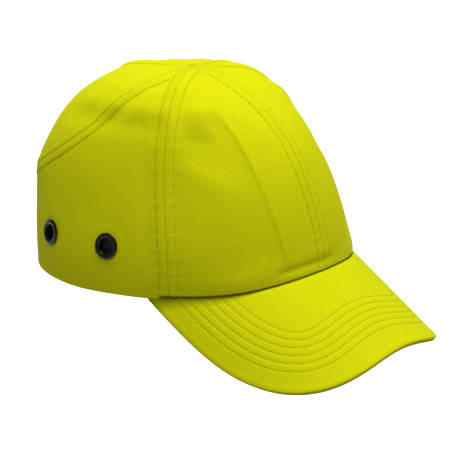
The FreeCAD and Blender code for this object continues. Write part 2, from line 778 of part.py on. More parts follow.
def buckle_clamp():
    """Lever with a knuckle round the pin, a gripping lip and a turned-up finger tip."""
    low, high = LEVER_Z
    inside, outside = LEVER_W
    knuckle = Part.makeCylinder(KNUCKLE_R, high - low, V(PIN_U, PIN_W, low))
    plate = box((PIN_U, LEVER_TO_U), LEVER_W, LEVER_Z)
    tip = box(TIP_U, (inside, inside + TIP), LEVER_Z)
    tip.rotate(V(TIP_U[0], inside, 0), V(0, 0, 1), TIP_LEAN)
    lever = knuckle.fuse([plate, tip, box(LIP_U, LIP_W, LIP_Z)])
    for i in range(RIBS):
        foot = V(RIB_U + RIB_STEP * i, outside, low + RIB_MARGIN)
        lever = lever.fuse(Part.makeCylinder(RIB_R, high - low - 2 * RIB_MARGIN, foot))
    return lever.cut(Part.makeCylinder(PIN_R + PIN_CLEARANCE, 30, V(PIN_U, PIN_W, -2)))


def strap_depth(p, q):
    """Depth of the strap's inner face below the cloth's outside."""
    here, out = crown(p, q), normal(p, q)
    radial = V(here.x, here.y - STRAP_CENTRE_Y, 0)
    facing = out.dot(radial) / radial.Length
    return (radial.Length - STRAP_R + STRAP) / facing


def strap_pocket():
    """Casing sewn inside the side panel. It bulges over the strap's tucked end."""
    width, height = POCKET_X[1] - POCKET_X[0], POCKET_Z[1] - POCKET_Z[0]
    start, end = POCKET_ON_FACING

    def depth(s, t, p, q):
        sewn = CLOTH + PLY_GAP + (FACING + PLY_GAP) * smooth((s - start) / (end - start))
        rise = smooth(min(t, 1 - t) / POCKET_RISE) * smooth((1 - s) / POCKET_CLOSE)
        tucked = strap_depth(p, q)
        clear = (tucked + POCKET_LEAST + math.hypot(tucked - POCKET_LEAST, 1.0)) / 2
        return sewn + (clear + POCKET_CLEAR - sewn) * rise
    outer, inner = [], []
    for i in range(POCKET_STEPS + 1):
        rows = [], []
        for j in range(POCKET_STEPS + 1):
            s, t = i / POCKET_STEPS, (1 - math.cos(math.pi * j / POCKET_STEPS)) / 2
            p, q = rear_chart(POCKET_X[0] + width * s, POCKET_Z[0] + height * t)
            d = depth(s, t, p, q)
            rows[0].append(skin(p, q, d))
            rows[1].append(skin(p, q, d + POCKET))
        outer.append(rows[0])
        inner.append(rows[1])
    return between(outer, inner)


def anchor_tab():
    """Webbing folded round the buckle's bar and sewn to the casing."""
    lean = math.cos(math.asin(BUCKLE_X / STRAP_R))
    start, end = (BUCKLE_X + u * lean for u in TAB_LOOP_U)
    outer = STRAP_R - TAB_FROM
    inner = outer - TAB_LOOP
    loop = arc_slab(inner, outer, start, end, *TAB_Z)
    hollow = arc_slab(inner + TAB, outer - TAB, start + TAB_LOOP_END, end - TAB_LOOP_END,
                      TAB_Z[0] - 1, TAB_Z[1] + 1)
    tail = arc_slab(outer - TAB, outer, end - TAB_LOOP_END, TAB_TO_X, *TAB_Z)
    return loop.cut(hollow).fuse(tail).removeSplitter()


def rear_strap():
    strap = arc_slab(STRAP_R - STRAP, STRAP_R, *STRAP_X, *STRAP_Z)
    save("adjuster_strap", rounded_ends(strap, STRAP_ROUND))
    save_pair("strap_pocket", strap_pocket())
    save("buckle_anchor_tab", anchor_tab())
    save("buckle_frame", at_buckle(buckle_frame()))
    save("buckle_clamp", at_buckle(buckle_clamp()))
    pin = Part.makeCylinder(PIN_R, PIN_Z[1] - PIN_Z[0], V(PIN_U, PIN_W, PIN_Z[0]))
    save("buckle_pin", at_buckle(pin))


def care_label():
    def chart(s, t):
        psi = -math.radians(LABEL_TURN[0] + (LABEL_TURN[1] - LABEL_TURN[0]) * s)
        return polar(rho_at(psi, LABEL_Z[0] + (LABEL_Z[1] - LABEL_Z[0]) * t), psi)
    depth = CLOTH + FACING + 2 * PLY_GAP
    save("care_label", layer(chart, depth, depth + LABEL, 5, 3))


textile()
peak()
insert()
rear_strap()
care_label()
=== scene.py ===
"""Bump cap: cloth, peak, padded insert and rear strap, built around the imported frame. Metres.

The crown is one surface with a disc-shaped chart (p, q): the chart's middle is the apex and its
rim is the hem. Every cloth piece is a patch of that chart at some depth below the surface.
"""

import math

import bmesh
import bpy
import numpy as np
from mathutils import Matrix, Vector


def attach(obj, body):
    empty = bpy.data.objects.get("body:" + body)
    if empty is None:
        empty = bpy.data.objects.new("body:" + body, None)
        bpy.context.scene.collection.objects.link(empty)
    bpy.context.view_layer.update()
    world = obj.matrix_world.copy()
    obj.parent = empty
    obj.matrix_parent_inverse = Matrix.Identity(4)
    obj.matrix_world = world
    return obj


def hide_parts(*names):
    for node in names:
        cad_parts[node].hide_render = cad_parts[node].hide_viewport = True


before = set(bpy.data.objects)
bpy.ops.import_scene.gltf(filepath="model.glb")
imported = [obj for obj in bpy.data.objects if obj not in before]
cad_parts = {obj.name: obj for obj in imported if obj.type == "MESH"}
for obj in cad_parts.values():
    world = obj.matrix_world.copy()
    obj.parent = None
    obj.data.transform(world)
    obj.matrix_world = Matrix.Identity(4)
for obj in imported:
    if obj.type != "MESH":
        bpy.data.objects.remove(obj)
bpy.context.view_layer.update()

MM = 0.001
TAU = 2 * math.pi

# Crown and peak: the same driving dimensions as the frame's
HALF_LENGTH, HALF_WIDTH, HEIGHT = 108 * MM, 96 * MM, 134.5 * MM
APEX_SHIFT = 4 * MM
ROUND_FRONT, ROUND_SIDE, ROUND_REAR = 1.64, 2.42, 2.46
SHOULDER = (0.030, -0.012, 0.056)
SHOULDER_SKEW = (0.031, 0.043, -0.069)
REAR_CORNERS, PLAN_SQUARE = 0.040, -0.025
HEM_RISE = 14.5 * MM
PEAK_PITCH = math.radians(32.7)
PEAK_BEND_R = 95.8 * MM
PEAK_REACH, PEAK_HALF_WIDTH, PEAK_CORNERS = 60.4 * MM, 90 * MM, 3.2
PEAK_END = math.radians(70.5)
PEAK_BACK = 33 * MM
PEAK_SEAM_GAP, PEAK_TUCK = 0.4 * MM, -1.7 * MM
COVER, BOARD = 0.9 * MM, 2.0 * MM
EDGE_ROUND, EDGE_WRAP, PEAK_END_RUN = 1.8 * MM, 1.9 * MM, 2.4 * MM
COVER_SPAN = 0.998
CLOTH, PLY_GAP = 1.0 * MM, 0.1 * MM
SIDE_SEAM = math.radians(70.2)
SIDE_SEAM_SWAY, SIDE_SEAM_BEND = math.radians(-5.1), 0.45
TAPE, TAPE_HALF_WIDTH = 0.5 * MM, 8 * MM
FACING, FACING_HEIGHT, FACING_END = 0.8 * MM, 17 * MM, math.radians(131)
ARCH_HALF_WIDTH, ARCH_HEIGHT, ARCH_ROUND = 44 * MM, 50 * MM, 2.4
ARCH_JOIN_X = 25 * MM
ARCH_FACING = 10.5 * MM
HEM_LEVEL = math.radians(105)
EYELETS = ((math.radians(91), 31 * MM), (math.radians(118), 29.5 * MM))
EYELET_CLOTH_R = 6 * MM
SHELL_DEPTH, SHELL, SHELL_REAR_SET_IN = 4.2 * MM, 1.7 * MM, 6 * MM
SET_IN_TURN = (math.radians(120), math.radians(148))
RIM_FRONT, RIM_SIDE, RIM_REAR = 23 * MM, 14 * MM, 60 * MM
RIM_TURN = (math.radians(120), math.radians(150))
PAD, SWEATBAND, SWEATBAND_END = 5 * MM, 2.5 * MM, math.radians(122)
STRAP_R, STRAP, STRAP_Z = 128 * MM, 1.6 * MM, (2 * MM, 22 * MM)
STRAP_CENTRE_Y = 107 * MM - STRAP_R
STRAP_X, STRAP_CORNER, STRAP_ROW = (-75 * MM, 46.5 * MM), 4 * MM, 2.4 * MM
POCKET_X, POCKET_Z, POCKET = (48 * MM, 84 * MM), (0.6 * MM, 27 * MM), 0.6 * MM

# Sewing
ROW_FROM_SEAM = 6.2 * MM
STITCH_PITCH, STITCH_GAP, THREAD_R = 3.4 * MM, 0.7 * MM, 0.18 * MM
PEAK_ROWS = 6
PEAK_ROW_FROM_EDGE, PEAK_ROW_SPACING = 13.4 * MM, 5.2 * MM
PEAK_ROW_TIP, PEAK_ROW_TIP_AT, PEAK_ROW_TIP_SPAN = 4.6 * MM, -12 * MM, 44 * MM

# Camera, at the photograph's angle
VIEW_TURN, VIEW_UP = math.radians(50.27), math.radians(17.36)
VIEW_AT = Vector((0, -0.0219, 0.0272))
VIEW_DISTANCE, LENS = 1.199, 140.5
FLOOR_Z, FLOOR_SIZE, FLOOR_GLOW, FLOOR_WHITE = -0.60, 40.0, 0.75, (0.95, 0.95, 0.95)
# How far the painted shade in seam grooves, the apex crease and at the hem by the peak darkens the cloth
FOLD_SHADE = 0.9
AMBIENT, SKY_RISE, OVERHEAD = 0.355, 0.25, 22.0
OVERHEAD_AT, OVERHEAD_SIZE = Vector((0.05, -0.20, 1.6)), 0.9


# ---------------------------------------------------------------- surface

def smooth(x):
    x = np.clip(x, 0.0, 1.0)
    return x * x * (3 - 2 * x)


def rise(x, start, width):
    """0 up to start, 1 from start + width on, and smooth between them."""
    return smooth((x - start) / width)


def fall(x, start, width):
    return 1 - rise(x, start, width)


def blend3(parts, psi):
    return parts[0] + parts[1] * np.cos(psi) + parts[2] * np.cos(2 * psi)


def plan_factor(psi, r):
    corners = REAR_CORNERS * (np.cos(3 * psi) - np.cos(psi))
    return 1 + (corners + PLAN_SQUARE * (np.cos(4 * psi) - 1)) * r


def profile_exponent(psi):
    c = np.cos(psi)
    mean = (ROUND_FRONT + ROUND_REAR) / 2
    return ROUND_SIDE + (ROUND_FRONT - ROUND_REAR) / 2 * c + (mean - ROUND_SIDE) * c * c


def peak_height(x, forward):
    bend = PEAK_BEND_R - np.sqrt(PEAK_BEND_R ** 2 - x * x)
    return HEM_RISE - math.tan(PEAK_PITCH) * (forward - HALF_LENGTH) - bend


def hem_height(psi):
    a = np.minimum(np.abs(psi), PEAK_END)
    m = plan_factor(a, 1.0)
    z = peak_height(HALF_WIDTH * np.sin(a) * m, HALF_LENGTH * np.cos(a) * m)
    return z * fall(np.abs(psi), PEAK_END, HEM_LEVEL - PEAK_END)


def crown(p, q):
    """Points of the cloth's outside, for arrays of chart coordinates."""
    rho, psi = np.hypot(p, q), np.arctan2(p, q)
    n = profile_exponent(psi)
    hem = hem_height(psi) / HEIGHT
    tilt = np.arctan2(hem, (1 - np.abs(hem) ** n) ** (1 / n))
    a = math.pi / 2 * rho - tilt * rho ** 4
    s, k = np.sin(a), np.cos(a)
    scale = (np.abs(s) ** n + np.abs(k) ** n) ** (-1 / n)
    full = np.sin(2 * a) ** 2
    scale = scale * (1 + full * (blend3(SHOULDER, psi) + blend3(SHOULDER_SKEW, psi) * np.cos(2 * a)))
    r = scale * s
    m = plan_factor(psi, r)
    return np.stack([-HALF_WIDTH * r * np.sin(psi) * m,
                     -HALF_LENGTH * r * np.cos(psi) * m + APEX_SHIFT * (1 - r * r),
                     HEIGHT * scale * k], -1)


def slopes(p, q):
    h = 1e-4
    return ((crown(p + h, q) - crown(p - h, q)) / (2 * h),
            (crown(p, q + h) - crown(p, q - h)) / (2 * h))


def unit(v):
    return v / np.maximum(np.linalg.norm(v, axis=-1, keepdims=True), 1e-12)


def dot(a, b):
    return (a * b).sum(-1)


def norm(v):
    return np.linalg.norm(v, axis=-1)


def run_length(points):
    """How far along a line of points each of them is."""
    return np.concatenate([[0], np.cumsum(norm(np.diff(points, axis=0)))])


def normal(p, q):
    a, b = slopes(p, q)
    n = unit(np.cross(a, b))
    outward = dot(n, crown(p, q) - np.array([0, 0, HEIGHT / 4]))
    return n * np.where(outward > 0, 1.0, -1.0)[..., None]


def polar(rho, psi):
    return rho * np.sin(psi), rho * np.cos(psi)


def rho_at(psi, z):
    """Chart radius at which the crown is z high."""
    psi, z = np.broadcast_arrays(np.asarray(psi, float), np.asarray(z, float))
    low, high = np.full(psi.shape, 0.02), np.full(psi.shape, 1.06)
    for _ in range(34):
        mid = (low + high) / 2
        above = crown(*polar(mid, psi))[..., 2] > z
        low, high = np.where(above, mid, low), np.where(above, high, mid)
    return low


def rear_chart(x, z):
    """Chart point on the rear wall, x across to the wearer's right and z high."""
    x, z = np.broadcast_arrays(np.asarray(x, float), np.asarray(z, float))
    rho, psi, h = np.full(x.shape, 0.9), math.pi - x / HALF_WIDTH, 1e-4
    for _ in range(12):
        here = crown(*polar(rho, psi))
        dr = (crown(*polar(rho + h, psi)) - here) / h
        da = (crown(*polar(rho, psi + h)) - here) / h
        ex, ez = -x - here[..., 0], z - here[..., 2]
        det = dr[..., 0] * da[..., 2] - da[..., 0] * dr[..., 2]
        rho = rho + (ex * da[..., 2] - ez * da[..., 0]) / det
        psi = psi + (dr[..., 0] * ez - dr[..., 2] * ex) / det
    return polar(rho, psi)


def step_on_chart(p, q, move):
    """Chart point reached by a small move along the surface."""
    sp, sq = slopes(p, q)
    pp, pq, qq = dot(sp, sp), dot(sp, sq), dot(sq, sq)
    det = pp * qq - pq * pq
    a, b = dot(move, sp), dot(move, sq)
    return p + (a * qq - b * pq) / det, q + (b * pp - a * pq) / det


# ---------------------------------------------------------------- chart curves

def spline(points):
    """Natural cubic through chart points, as a function of t from 0 to 1."""
    pts = np.array(points, float)
    u = run_length(pts)
    n, h = len(pts), np.diff(u)
    lhs, rhs = np.eye(n), np.zeros((n, 2))
    for i in range(1, n - 1):
        lhs[i, i - 1:i + 2] = h[i - 1], 2 * (h[i - 1] + h[i]), h[i]
        rhs[i] = 6 * ((pts[i + 1] - pts[i]) / h[i] - (pts[i] - pts[i - 1]) / h[i - 1])
    bend = np.linalg.solve(lhs, rhs)

    def at(t):
        w = np.clip(np.asarray(t, float), 0, 1) * u[-1]
        i = np.clip(np.searchsorted(u, w, side="right") - 1, 0, n - 2)
        a, b = ((u[i + 1] - w) / h[i])[..., None], ((w - u[i]) / h[i])[..., None]
        hh = (h[i] ** 2)[..., None] / 6
        xy = a * pts[i] + b * pts[i + 1] + ((a ** 3 - a) * bend[i] + (b ** 3 - b) * bend[i + 1]) * hh
        return xy[..., 0], xy[..., 1]
    return at


def side_seam(rho):
    """How far round from the front the front/side seam runs."""
    return SIDE_SEAM + SIDE_SEAM_SWAY * rise(rho, SIDE_SEAM_BEND, 1 - SIDE_SEAM_BEND)


def down(turn, start, end):
    """Line down the crown between two chart radii. turn is an angle, or a function of the radius."""
    def at(t):
        rho = start + (end - start) * np.asarray(t, float)
        return polar(rho, turn(rho) if callable(turn) else turn)
    return at


def arch(angle):
    c, s = np.cos(angle), np.sin(angle)
    k = (np.abs(c) ** ARCH_ROUND + np.abs(s) ** ARCH_ROUND) ** (-1 / ARCH_ROUND)
    return rear_chart(ARCH_HALF_WIDTH * k * c, np.maximum(ARCH_HEIGHT * k * s, 0.0))


def arch_join():
    angles = np.linspace(0.2, math.pi / 2, 2000)
    c, s = np.cos(angles), np.sin(angles)
    k = (c ** ARCH_ROUND + s ** ARCH_ROUND) ** (-1 / ARCH_ROUND)
    return float(np.interp(-ARCH_JOIN_X, -ARCH_HALF_WIDTH * k * c, angles))


JOIN, ARCH_TOP = arch_join(), -float(arch(np.array(math.pi / 2))[1])
REAR_SEAM = spline([(0.0, 0.0), (0.19, -0.006), (0.35, -0.085), (0.465, -0.205),
                    (0.50, -0.37), (0.45, -0.55), (0.33, -0.69),
                    tuple(float(v) for v in arch(JOIN))])


def reach(curve, samples=400):
    """Even steps along a chart curve: its t values and its length in metres."""
    t = np.linspace(0, 1, samples)
    p, q = curve(t)
    along = run_length(crown(p, q))
    return lambda s: np.interp(s, along, t), along[-1]


def left_side(curve):
    """The same curve or chart on the wearer's left."""
    def at(*where):
        p, q = curve(*where)
        return -p, q
    return at


SEAM_SIDE = down(side_seam, 0.0, 1.0)
SEAMS = {"front": down(0.0, 0.0, 1.0), "side_right": SEAM_SIDE, "side_left": left_side(SEAM_SIDE),
         "rear_right": REAR_SEAM, "rear_left": left_side(REAR_SEAM),
         "rear_centre": down(math.pi, 0.0, ARCH_TOP)}


# ---------------------------------------------------------------- relief of the cloth

# Forms pressed into the cloth are bells: height, middle and width, in mm
SEAM_CUT = ((0.24, 0, 0.4), (0.13, ROW_FROM_SEAM / MM, 0.45))
# Painted shade on the seam line and its rows of stitches: share of darkening, and middle and width in mm
SEAM_PAINTED_SHADE = ((0.20, 0, 0.36), (0.07, ROW_FROM_SEAM / MM, 0.4))
PUCKER, PUCKER_WIDTH, SEAM_REACH = 0.10, 4.0, 26 * MM
RIDGE, RIDGE_HALF_WIDTH, RIDGE_FALL = 0.42, 4.6, 2.6
RIDGE_SIDE, BESIDE_HIGH_SEAM = (0.10, 2.6, 1.6), (-0.8, 9.5, 4.5)
# Rear of the crown: how high, and how far the cloth stands out there
REAR_PROFILE = ((20, 0.0), (42, 0.1), (54, 1.0), (66, 2.1), (74, 1.2), (83, 0.0), (92, -0.9),
                (106, -1.0), (121, -1.0), (126, -0.4), (130, -0.4), (134, 0.0))
REAR_FROM, REAR_FULLY, REAR_SOFTEN = 2.10, 2.46, (-2.0, -1.0, 0.0, 1.0, 2.0)
SHELF, SHELF_Z = 1.9, (123.5, 128)
BAND_HALF_WIDTH, BAND_SPREAD, GUTTER, GUTTER_HIGH = 35.0, 2.0, 0.7, 1.7
BAND_EDGE, BAND_ENDS, BAND_CREST, CREST_TURN = (0.35, -1.4, 1.8), (22, 99), (1.5, 116.5, 5.0), 0.93
DENT_X, DENT = (-34.0, 6.0), ((0.3, 12.5, 4.5), (-0.95, 6.8, 2.2))
BESIDE_SIDE_SEAM, SHELL_EDGE = (-0.6, 12.5, 5.0), ((0.8, 116.5, 5.0), (-0.8, 106.0, 6.0))
TOP_SINK, PEAK_SWELL, PEAK_SWELL_TURN, HEM_ROLL = 0.9, (0.9, 6.0, 8.0), 0.66, 1.2
# Apex crease: its two ends and width in mm, its depth in mm, and the share of painted shade in it
APEX_CREASE, CREASE_WIDTH, CREASE_DEPTH, CREASE_PAINTED_SHADE = ((-2.5, 8.1), (12.0, 9.4)), 0.65, 0.45, 0.7
VENT_RING = (-0.25, 9.0, 1.6)


def seam_samples(curve, samples=300):
    """Evenly spaced points on a seam, and how far along it they are."""
    t_at, length = reach(curve)
    along = np.linspace(0, length, samples)
    return crown(*curve(t_at(along))), along


SEAM_POINTS = [seam_samples(curve) for curve in SEAMS.values()]


def nearest(points, line, along):
    """Distance from each point to a polyline, and how far along it that is."""
    gap, place = np.empty(len(points)), np.empty(len(points))
    for i in range(0, len(points), 4000):
        d = norm(points[i:i + 4000, None] - line[None])
        k = np.clip(d.argmin(1), 1, len(line) - 2)
        best, where = d[np.arange(len(k)), d.argmin(1)], along[k]
        for a in (k - 1, k):
            run = line[a + 1] - line[a]
            f = np.clip(dot(points[i:i + 4000] - line[a], run) / dot(run, run), 0, 1)
            gap_here = norm(points[i:i + 4000] - line[a] - run * f[:, None])
            nearer = gap_here < best
            best = np.where(nearer, gap_here, best)
            where = np.where(nearer, along[a] + (along[a + 1] - along[a]) * f, where)
        gap[i:i + 4000], place[i:i + 4000] = best, where
    return gap, place


def bell(x, middle, width):
    return np.exp(-((x - middle) / width) ** 2)


def bells(x, *forms):
    return sum(height * bell(x, middle, width) for height, middle, width in forms)


def ripple(u, phase):
    """Uneven wave of unit size along a length in metres."""
    return (np.sin(TAU * u / (7.3 * MM) + phase) * 0.5
            + np.sin(TAU * u / (11.9 * MM) + 2.3 * phase + 1.0) * 0.35
            + np.sin(TAU * u / (4.7 * MM) + 1.7 * phase) * 0.15)


def seam_relief(points):
    """Sewn seams: a low ridge with the seam line in its middle and a row of stitches each side.

    Returns the height and the painted shade on the seam line and along its rows of stitches.
    """
    closest = np.full(len(points), 99.0)
    cut, pucker, painted_shade = np.zeros((3, len(points)))
    for k, (line, along) in enumerate(SEAM_POINTS):
        near = norm(points[:, None] - line[None, ::12]).min(1) < SEAM_REACH
        gap, place = nearest(points[near], line, along)
        gap = gap / MM
        closest[near] = np.minimum(closest[near], gap)
        cut[near] = np.maximum(cut[near], bells(gap, *SEAM_CUT))
        painted_shade[near] = np.maximum(painted_shade[near], bells(gap, *SEAM_PAINTED_SHADE))
        pucker[near] += (PUCKER * ripple(place, k * 1.9) * bell(gap, ROW_FROM_SEAM / MM, PUCKER_WIDTH)
                         * rise(gap, 0, 2))
    high = rise(points[:, 2] / MM, 96, 22)
    ridge = RIDGE * fall(closest, RIDGE_HALF_WIDTH, RIDGE_FALL) + bells(closest, RIDGE_SIDE)
    ridge += high * (0.45 * fall(closest, 0, 7) + bells(closest, BESIDE_HIGH_SEAM))
    return (ridge - cut + pucker) * MM, painted_shade


def rear_relief(points, turn):
    """The cloth sinks behind the shell's top edge and is pushed out lower down."""
    at, out = np.array(REAR_PROFILE).T
    z = points[:, 2] / MM
    height = sum(np.interp(z + shift, at, out) for shift in REAR_SOFTEN) / len(REAR_SOFTEN)
    shelf = SHELF * rise(z, SHELF_Z[0], 3.5) * fall(z, SHELF_Z[1], 6) * rise(turn, 2.72, 0.3)
    return height * rise(turn, REAR_FROM, REAR_FULLY - REAR_FROM) + shelf


def band_relief(points, turn):
    """The edge of the shell's raised centre band, and the gutter outside it."""
    x, y, z = points.T / MM
    over = np.abs(x) - BAND_HALF_WIDTH + BAND_SPREAD * fall(z, 30, 40)
    high = rise(z, 68, 26)
    gutter = GUTTER + GUTTER_HIGH * high
    gutter = -gutter * (1 - np.exp(-np.maximum(over, 0) / 6.5)) * fall(over, 6 + 10 * high, 20)
    band = 0.25 * fall(over, -1.0, 2.0) + bells(over, BAND_EDGE)
    fade = rise(z, BAND_ENDS[0], 12) * fall(z, BAND_ENDS[1] + 9 * fall(over, 2, 9), 13)
    at_front = fall(turn, 0.95, 0.25) * rise(-y, 0, 20)
    return ((gutter + band) * fade + bells(z, BAND_CREST) * bell(turn, CREST_TURN, 0.26)) * at_front


def imprint_relief(points, psi, rho):
    """How the hard shell under the cloth shows."""
    x, y, z = points.T / MM
    turn = np.abs(psi)
    above_hem = z - hem_height(psi) / MM
    at_dent = rise(x, DENT_X[0] - 8, 12) * fall(x, DENT_X[1] - 4, 14) * (y < 0)
    by_seam = bells((turn - side_seam(rho)) * np.hypot(x, y), BESIDE_SIDE_SEAM)
    height = (band_relief(points, turn) + rear_relief(points, turn) + at_dent * bells(above_hem, *DENT)
              + by_seam * rise(z, 12, 25) * fall(z, 96, 14))
    height += rise(turn, 1.15, 0.2) * fall(turn, 2.2, 0.3) * bells(z, *SHELL_EDGE)
    height -= rise(turn, 1.25, 0.2) * fall(turn, 2.35, 0.3) * TOP_SINK * rise(z, 124, 7)
    height += bells(above_hem, PEAK_SWELL) * bell(turn, PEAK_SWELL_TURN, 0.26)
    return (height - HEM_ROLL * fall(above_hem, -0.2, 1.5) * at_peak(psi)) * MM


def at_peak(psi):
    """1 where the hem is sewn to the peak."""
    return fall(np.abs(psi), PEAK_END - 0.06, 0.05)


def apex_crease(points):
    """Short crease just behind the apex, where the seams meet."""
    start, end = (np.array(at) for at in APEX_CREASE)
    run = end - start
    f = np.clip((points[:, :2] / MM - start) @ run / (run @ run), 0, 1)
    gap = norm(points[:, :2] / MM - start - f[:, None] * run)
    return bell(gap, 0, CREASE_WIDTH) * (points[:, 2] > HEIGHT / 2)


def drape_relief(points):
    """Broad, shallow unevenness of cloth drawn over the shell."""
    x, y, z = points.T / MM
    wave = (np.sin(x / 17.0 + z / 31.0) * np.sin(y / 23.0 - z / 19.0 + 0.7) * 0.26
            + np.sin(x / 9.0 - y / 13.0 + 1.9) * np.sin(z / 15.0 + y / 21.0) * 0.14)
    return wave * MM


def cloth_form(p, q):
    """Relief of the crown's cloth, and its painted shade in seams, the apex crease and at the hem by the
    peak, at chart places.
    """
    points = crown(p, q).reshape(-1, 3)
    psi, rho = np.arctan2(p, q).reshape(-1), np.hypot(p, q).reshape(-1)
    seam, painted_shade = seam_relief(points)
    height = seam + imprint_relief(points, psi, rho) + drape_relief(points)
    from_vent = norm(points[:, None] - VENT_CENTRES[None]).min(1) / MM
    height = height * rise(from_vent, 7.5, 8.0) + MM * bells(from_vent, VENT_RING)
    height = height * rise(rho, 0.02, 0.10)
    crease = apex_crease(points)
    above_hem = points[:, 2] - hem_height(psi)
    # Painted shade in the apex crease and on the last 0.9 mm of cloth above the hem where it meets the peak
    painted_shade = np.maximum(np.maximum(painted_shade, CREASE_PAINTED_SHADE * crease), at_peak(psi) * fall(above_hem, 0, 0.9 * MM))
    height = height - CREASE_DEPTH * MM * crease
    return height.reshape(np.shape(p)), painted_shade.reshape(np.shape(p))


def relief(p, q):
    return cloth_form(p, q)[0]


def cloth_surface(p, q):
    """The crown with its relief."""
    return crown(p, q) + normal(p, q) * relief(p, q)[..., None]


# ---------------------------------------------------------------- mesh making

def make_object(name, vertices, faces, material, uv=None, painted_shade=None):
    mesh = bpy.data.meshes.new(name)
    mesh.from_pydata([tuple(v) for v in vertices], [], [tuple(int(i) for i in f) for f in faces])
    mesh.validate()
    mesh.materials.append(material)
    if uv is not None:
        layer = mesh.uv_layers.new(name="weave")
        index = np.empty(len(mesh.loops), np.int32)
        mesh.loops.foreach_get("vertex_index", index)
        layer.data.foreach_set("uv", np.asarray(uv, np.float32)[index].ravel())
    # Point attribute of painted shade, which darkens the twill's colour
    if painted_shade is not None:
        mesh.attributes.new("painted_shade", "FLOAT", "POINT").data.foreach_set("value", np.asarray(painted_shade, np.float32))
    mesh.polygons.foreach_set("use_smooth", [True] * len(mesh.polygons))
    obj = bpy.data.objects.new(name, mesh)
    bpy.context.scene.collection.objects.link(obj)
    return obj


def grid_faces(rows, columns, start=0, flip=False):
    i, j = np.meshgrid(np.arange(rows - 1), np.arange(columns - 1), indexing="ij")
    a = start + i * columns + j
    quads = np.stack([a, a + columns, a + columns + 1, a + 1], -1).reshape(-1, 4)
    return quads[:, ::-1] if flip else quads


def rim_of(rows, columns):
    """Indices round a grid's edge, in order."""
    index = np.arange(rows * columns).reshape(rows, columns)
    return np.concatenate([index[0], index[1:, -1], index[-1, -2::-1], index[-2:0:-1, 0]])


def weave_uv(grid):
    """Flat cloth coordinates, in metres, measured over the grid."""
    down = norm(np.diff(grid, axis=0))
    across = norm(np.diff(grid, axis=1))
    v = np.concatenate([np.zeros((1, grid.shape[1])), np.cumsum(down, 0)])
    u = np.concatenate([np.zeros((grid.shape[0], 1)), np.cumsum(across, 1)], 1)
    u = u - u[:, u.shape[1] // 2][:, None]
    v = np.repeat(v[:, v.shape[1] // 2][:, None], grid.shape[1], 1)
    return np.stack([u, v], -1)


def slab(name, outer, inner, material, roll=0.3, holes=(), painted_shade=None):
    """Closed piece between two grids of points. roll rounds its edge.

    holes are (centre, axis, radius) of round holes through it. The last argument is the painted shade of its
    outside, none where it is not given.
    """
    rows, columns = outer.shape[:2]
    outer, inner = outer.copy(), inner.copy()
    middle = (outer + inner) / 2
    edge = np.zeros((rows, columns), bool)
    edge[0], edge[-1], edge[:, 0], edge[:, -1] = True, True, True, True
    outer[edge] += (middle - outer)[edge] * roll
    inner[edge] += (middle - inner)[edge] * roll
    count = rows * columns
    uv = weave_uv(outer).reshape(-1, 2)
    points = np.concatenate([outer.reshape(-1, 3), inner.reshape(-1, 3)])
    kept, rims = np.ones((rows - 1, columns - 1), bool), []
    for centre, axis, radius in holes:
        inside, rim = punch(points, count, (rows, columns), centre, axis, radius)
        kept &= ~inside
        rims.append(rim)
    kept = kept.reshape(-1)
    rim = rim_of(rows, columns)
    nxt = np.roll(rim, -1)
    faces = [grid_faces(rows, columns)[kept], grid_faces(rows, columns, count, flip=True)[kept],
             np.stack([rim, nxt, nxt + count, rim + count], -1)] + rims
    painted_shade = np.zeros((rows, columns)) if painted_shade is None else painted_shade
    painted_shade = np.concatenate([painted_shade.ravel(), 0 * painted_shade.ravel()])
    obj = make_object(name, points, np.concatenate(faces), material, np.concatenate([uv, uv]), painted_shade)
    face_outward(obj)
    return obj


def punch(points, count, shape, centre, axis, radius):
    """Opens a round hole in a two-sided grid: the quads inside it and the wall round it."""
    rows, columns = shape

    def radial(p):
        offset = p - centre
        return offset - dot(offset, axis)[..., None] * axis, norm(offset)
    grid = points[:count].reshape(rows, columns, 3)
    middle = (grid[:-1, :-1] + grid[1:, 1:] + grid[1:, :-1] + grid[:-1, 1:]) / 4
    flat, far = radial(middle)
    inside = (norm(flat) < radius) & (far < 3 * radius)
    index = np.arange(count).reshape(rows, columns)
    i, j = np.nonzero(inside[1:, :] != inside[:-1, :])
    across = np.stack([index[i + 1, j], index[i + 1, j + 1]], -1)
    i, j = np.nonzero(inside[:, 1:] != inside[:, :-1])
    walls = np.concatenate([across, np.stack([index[i, j + 1], index[i + 1, j + 1]], -1)])
    for start in (0, count):
        ids = np.unique(walls) + start
        flat, _ = radial(points[ids])
        points[ids] += unit(flat) * (radius - norm(flat))[:, None]
    return inside, np.stack([walls[:, 0], walls[:, 1], walls[:, 1] + count, walls[:, 0] + count], -1)


def face_outward(obj):
    bm = bmesh.new()
    bm.from_mesh(obj.data)
    bmesh.ops.recalc_face_normals(bm, faces=bm.faces)
    bm.to_mesh(obj.data)
    bm.free()


def unit_grid(rows, columns, first=0.0):
    return np.meshgrid(np.linspace(0, 1, rows), np.linspace(first, 1, columns), indexing="ij")


def chart_grid(chart, rows, columns, crowded):
    """Chart places on a grid, closer together at its edges where crowded is above 0."""
    def steps(count):
        even = np.linspace(0, 1, count)
        return even - crowded / TAU * np.sin(TAU * even)
    return chart(*np.meshgrid(steps(rows), steps(columns), indexing="ij"))


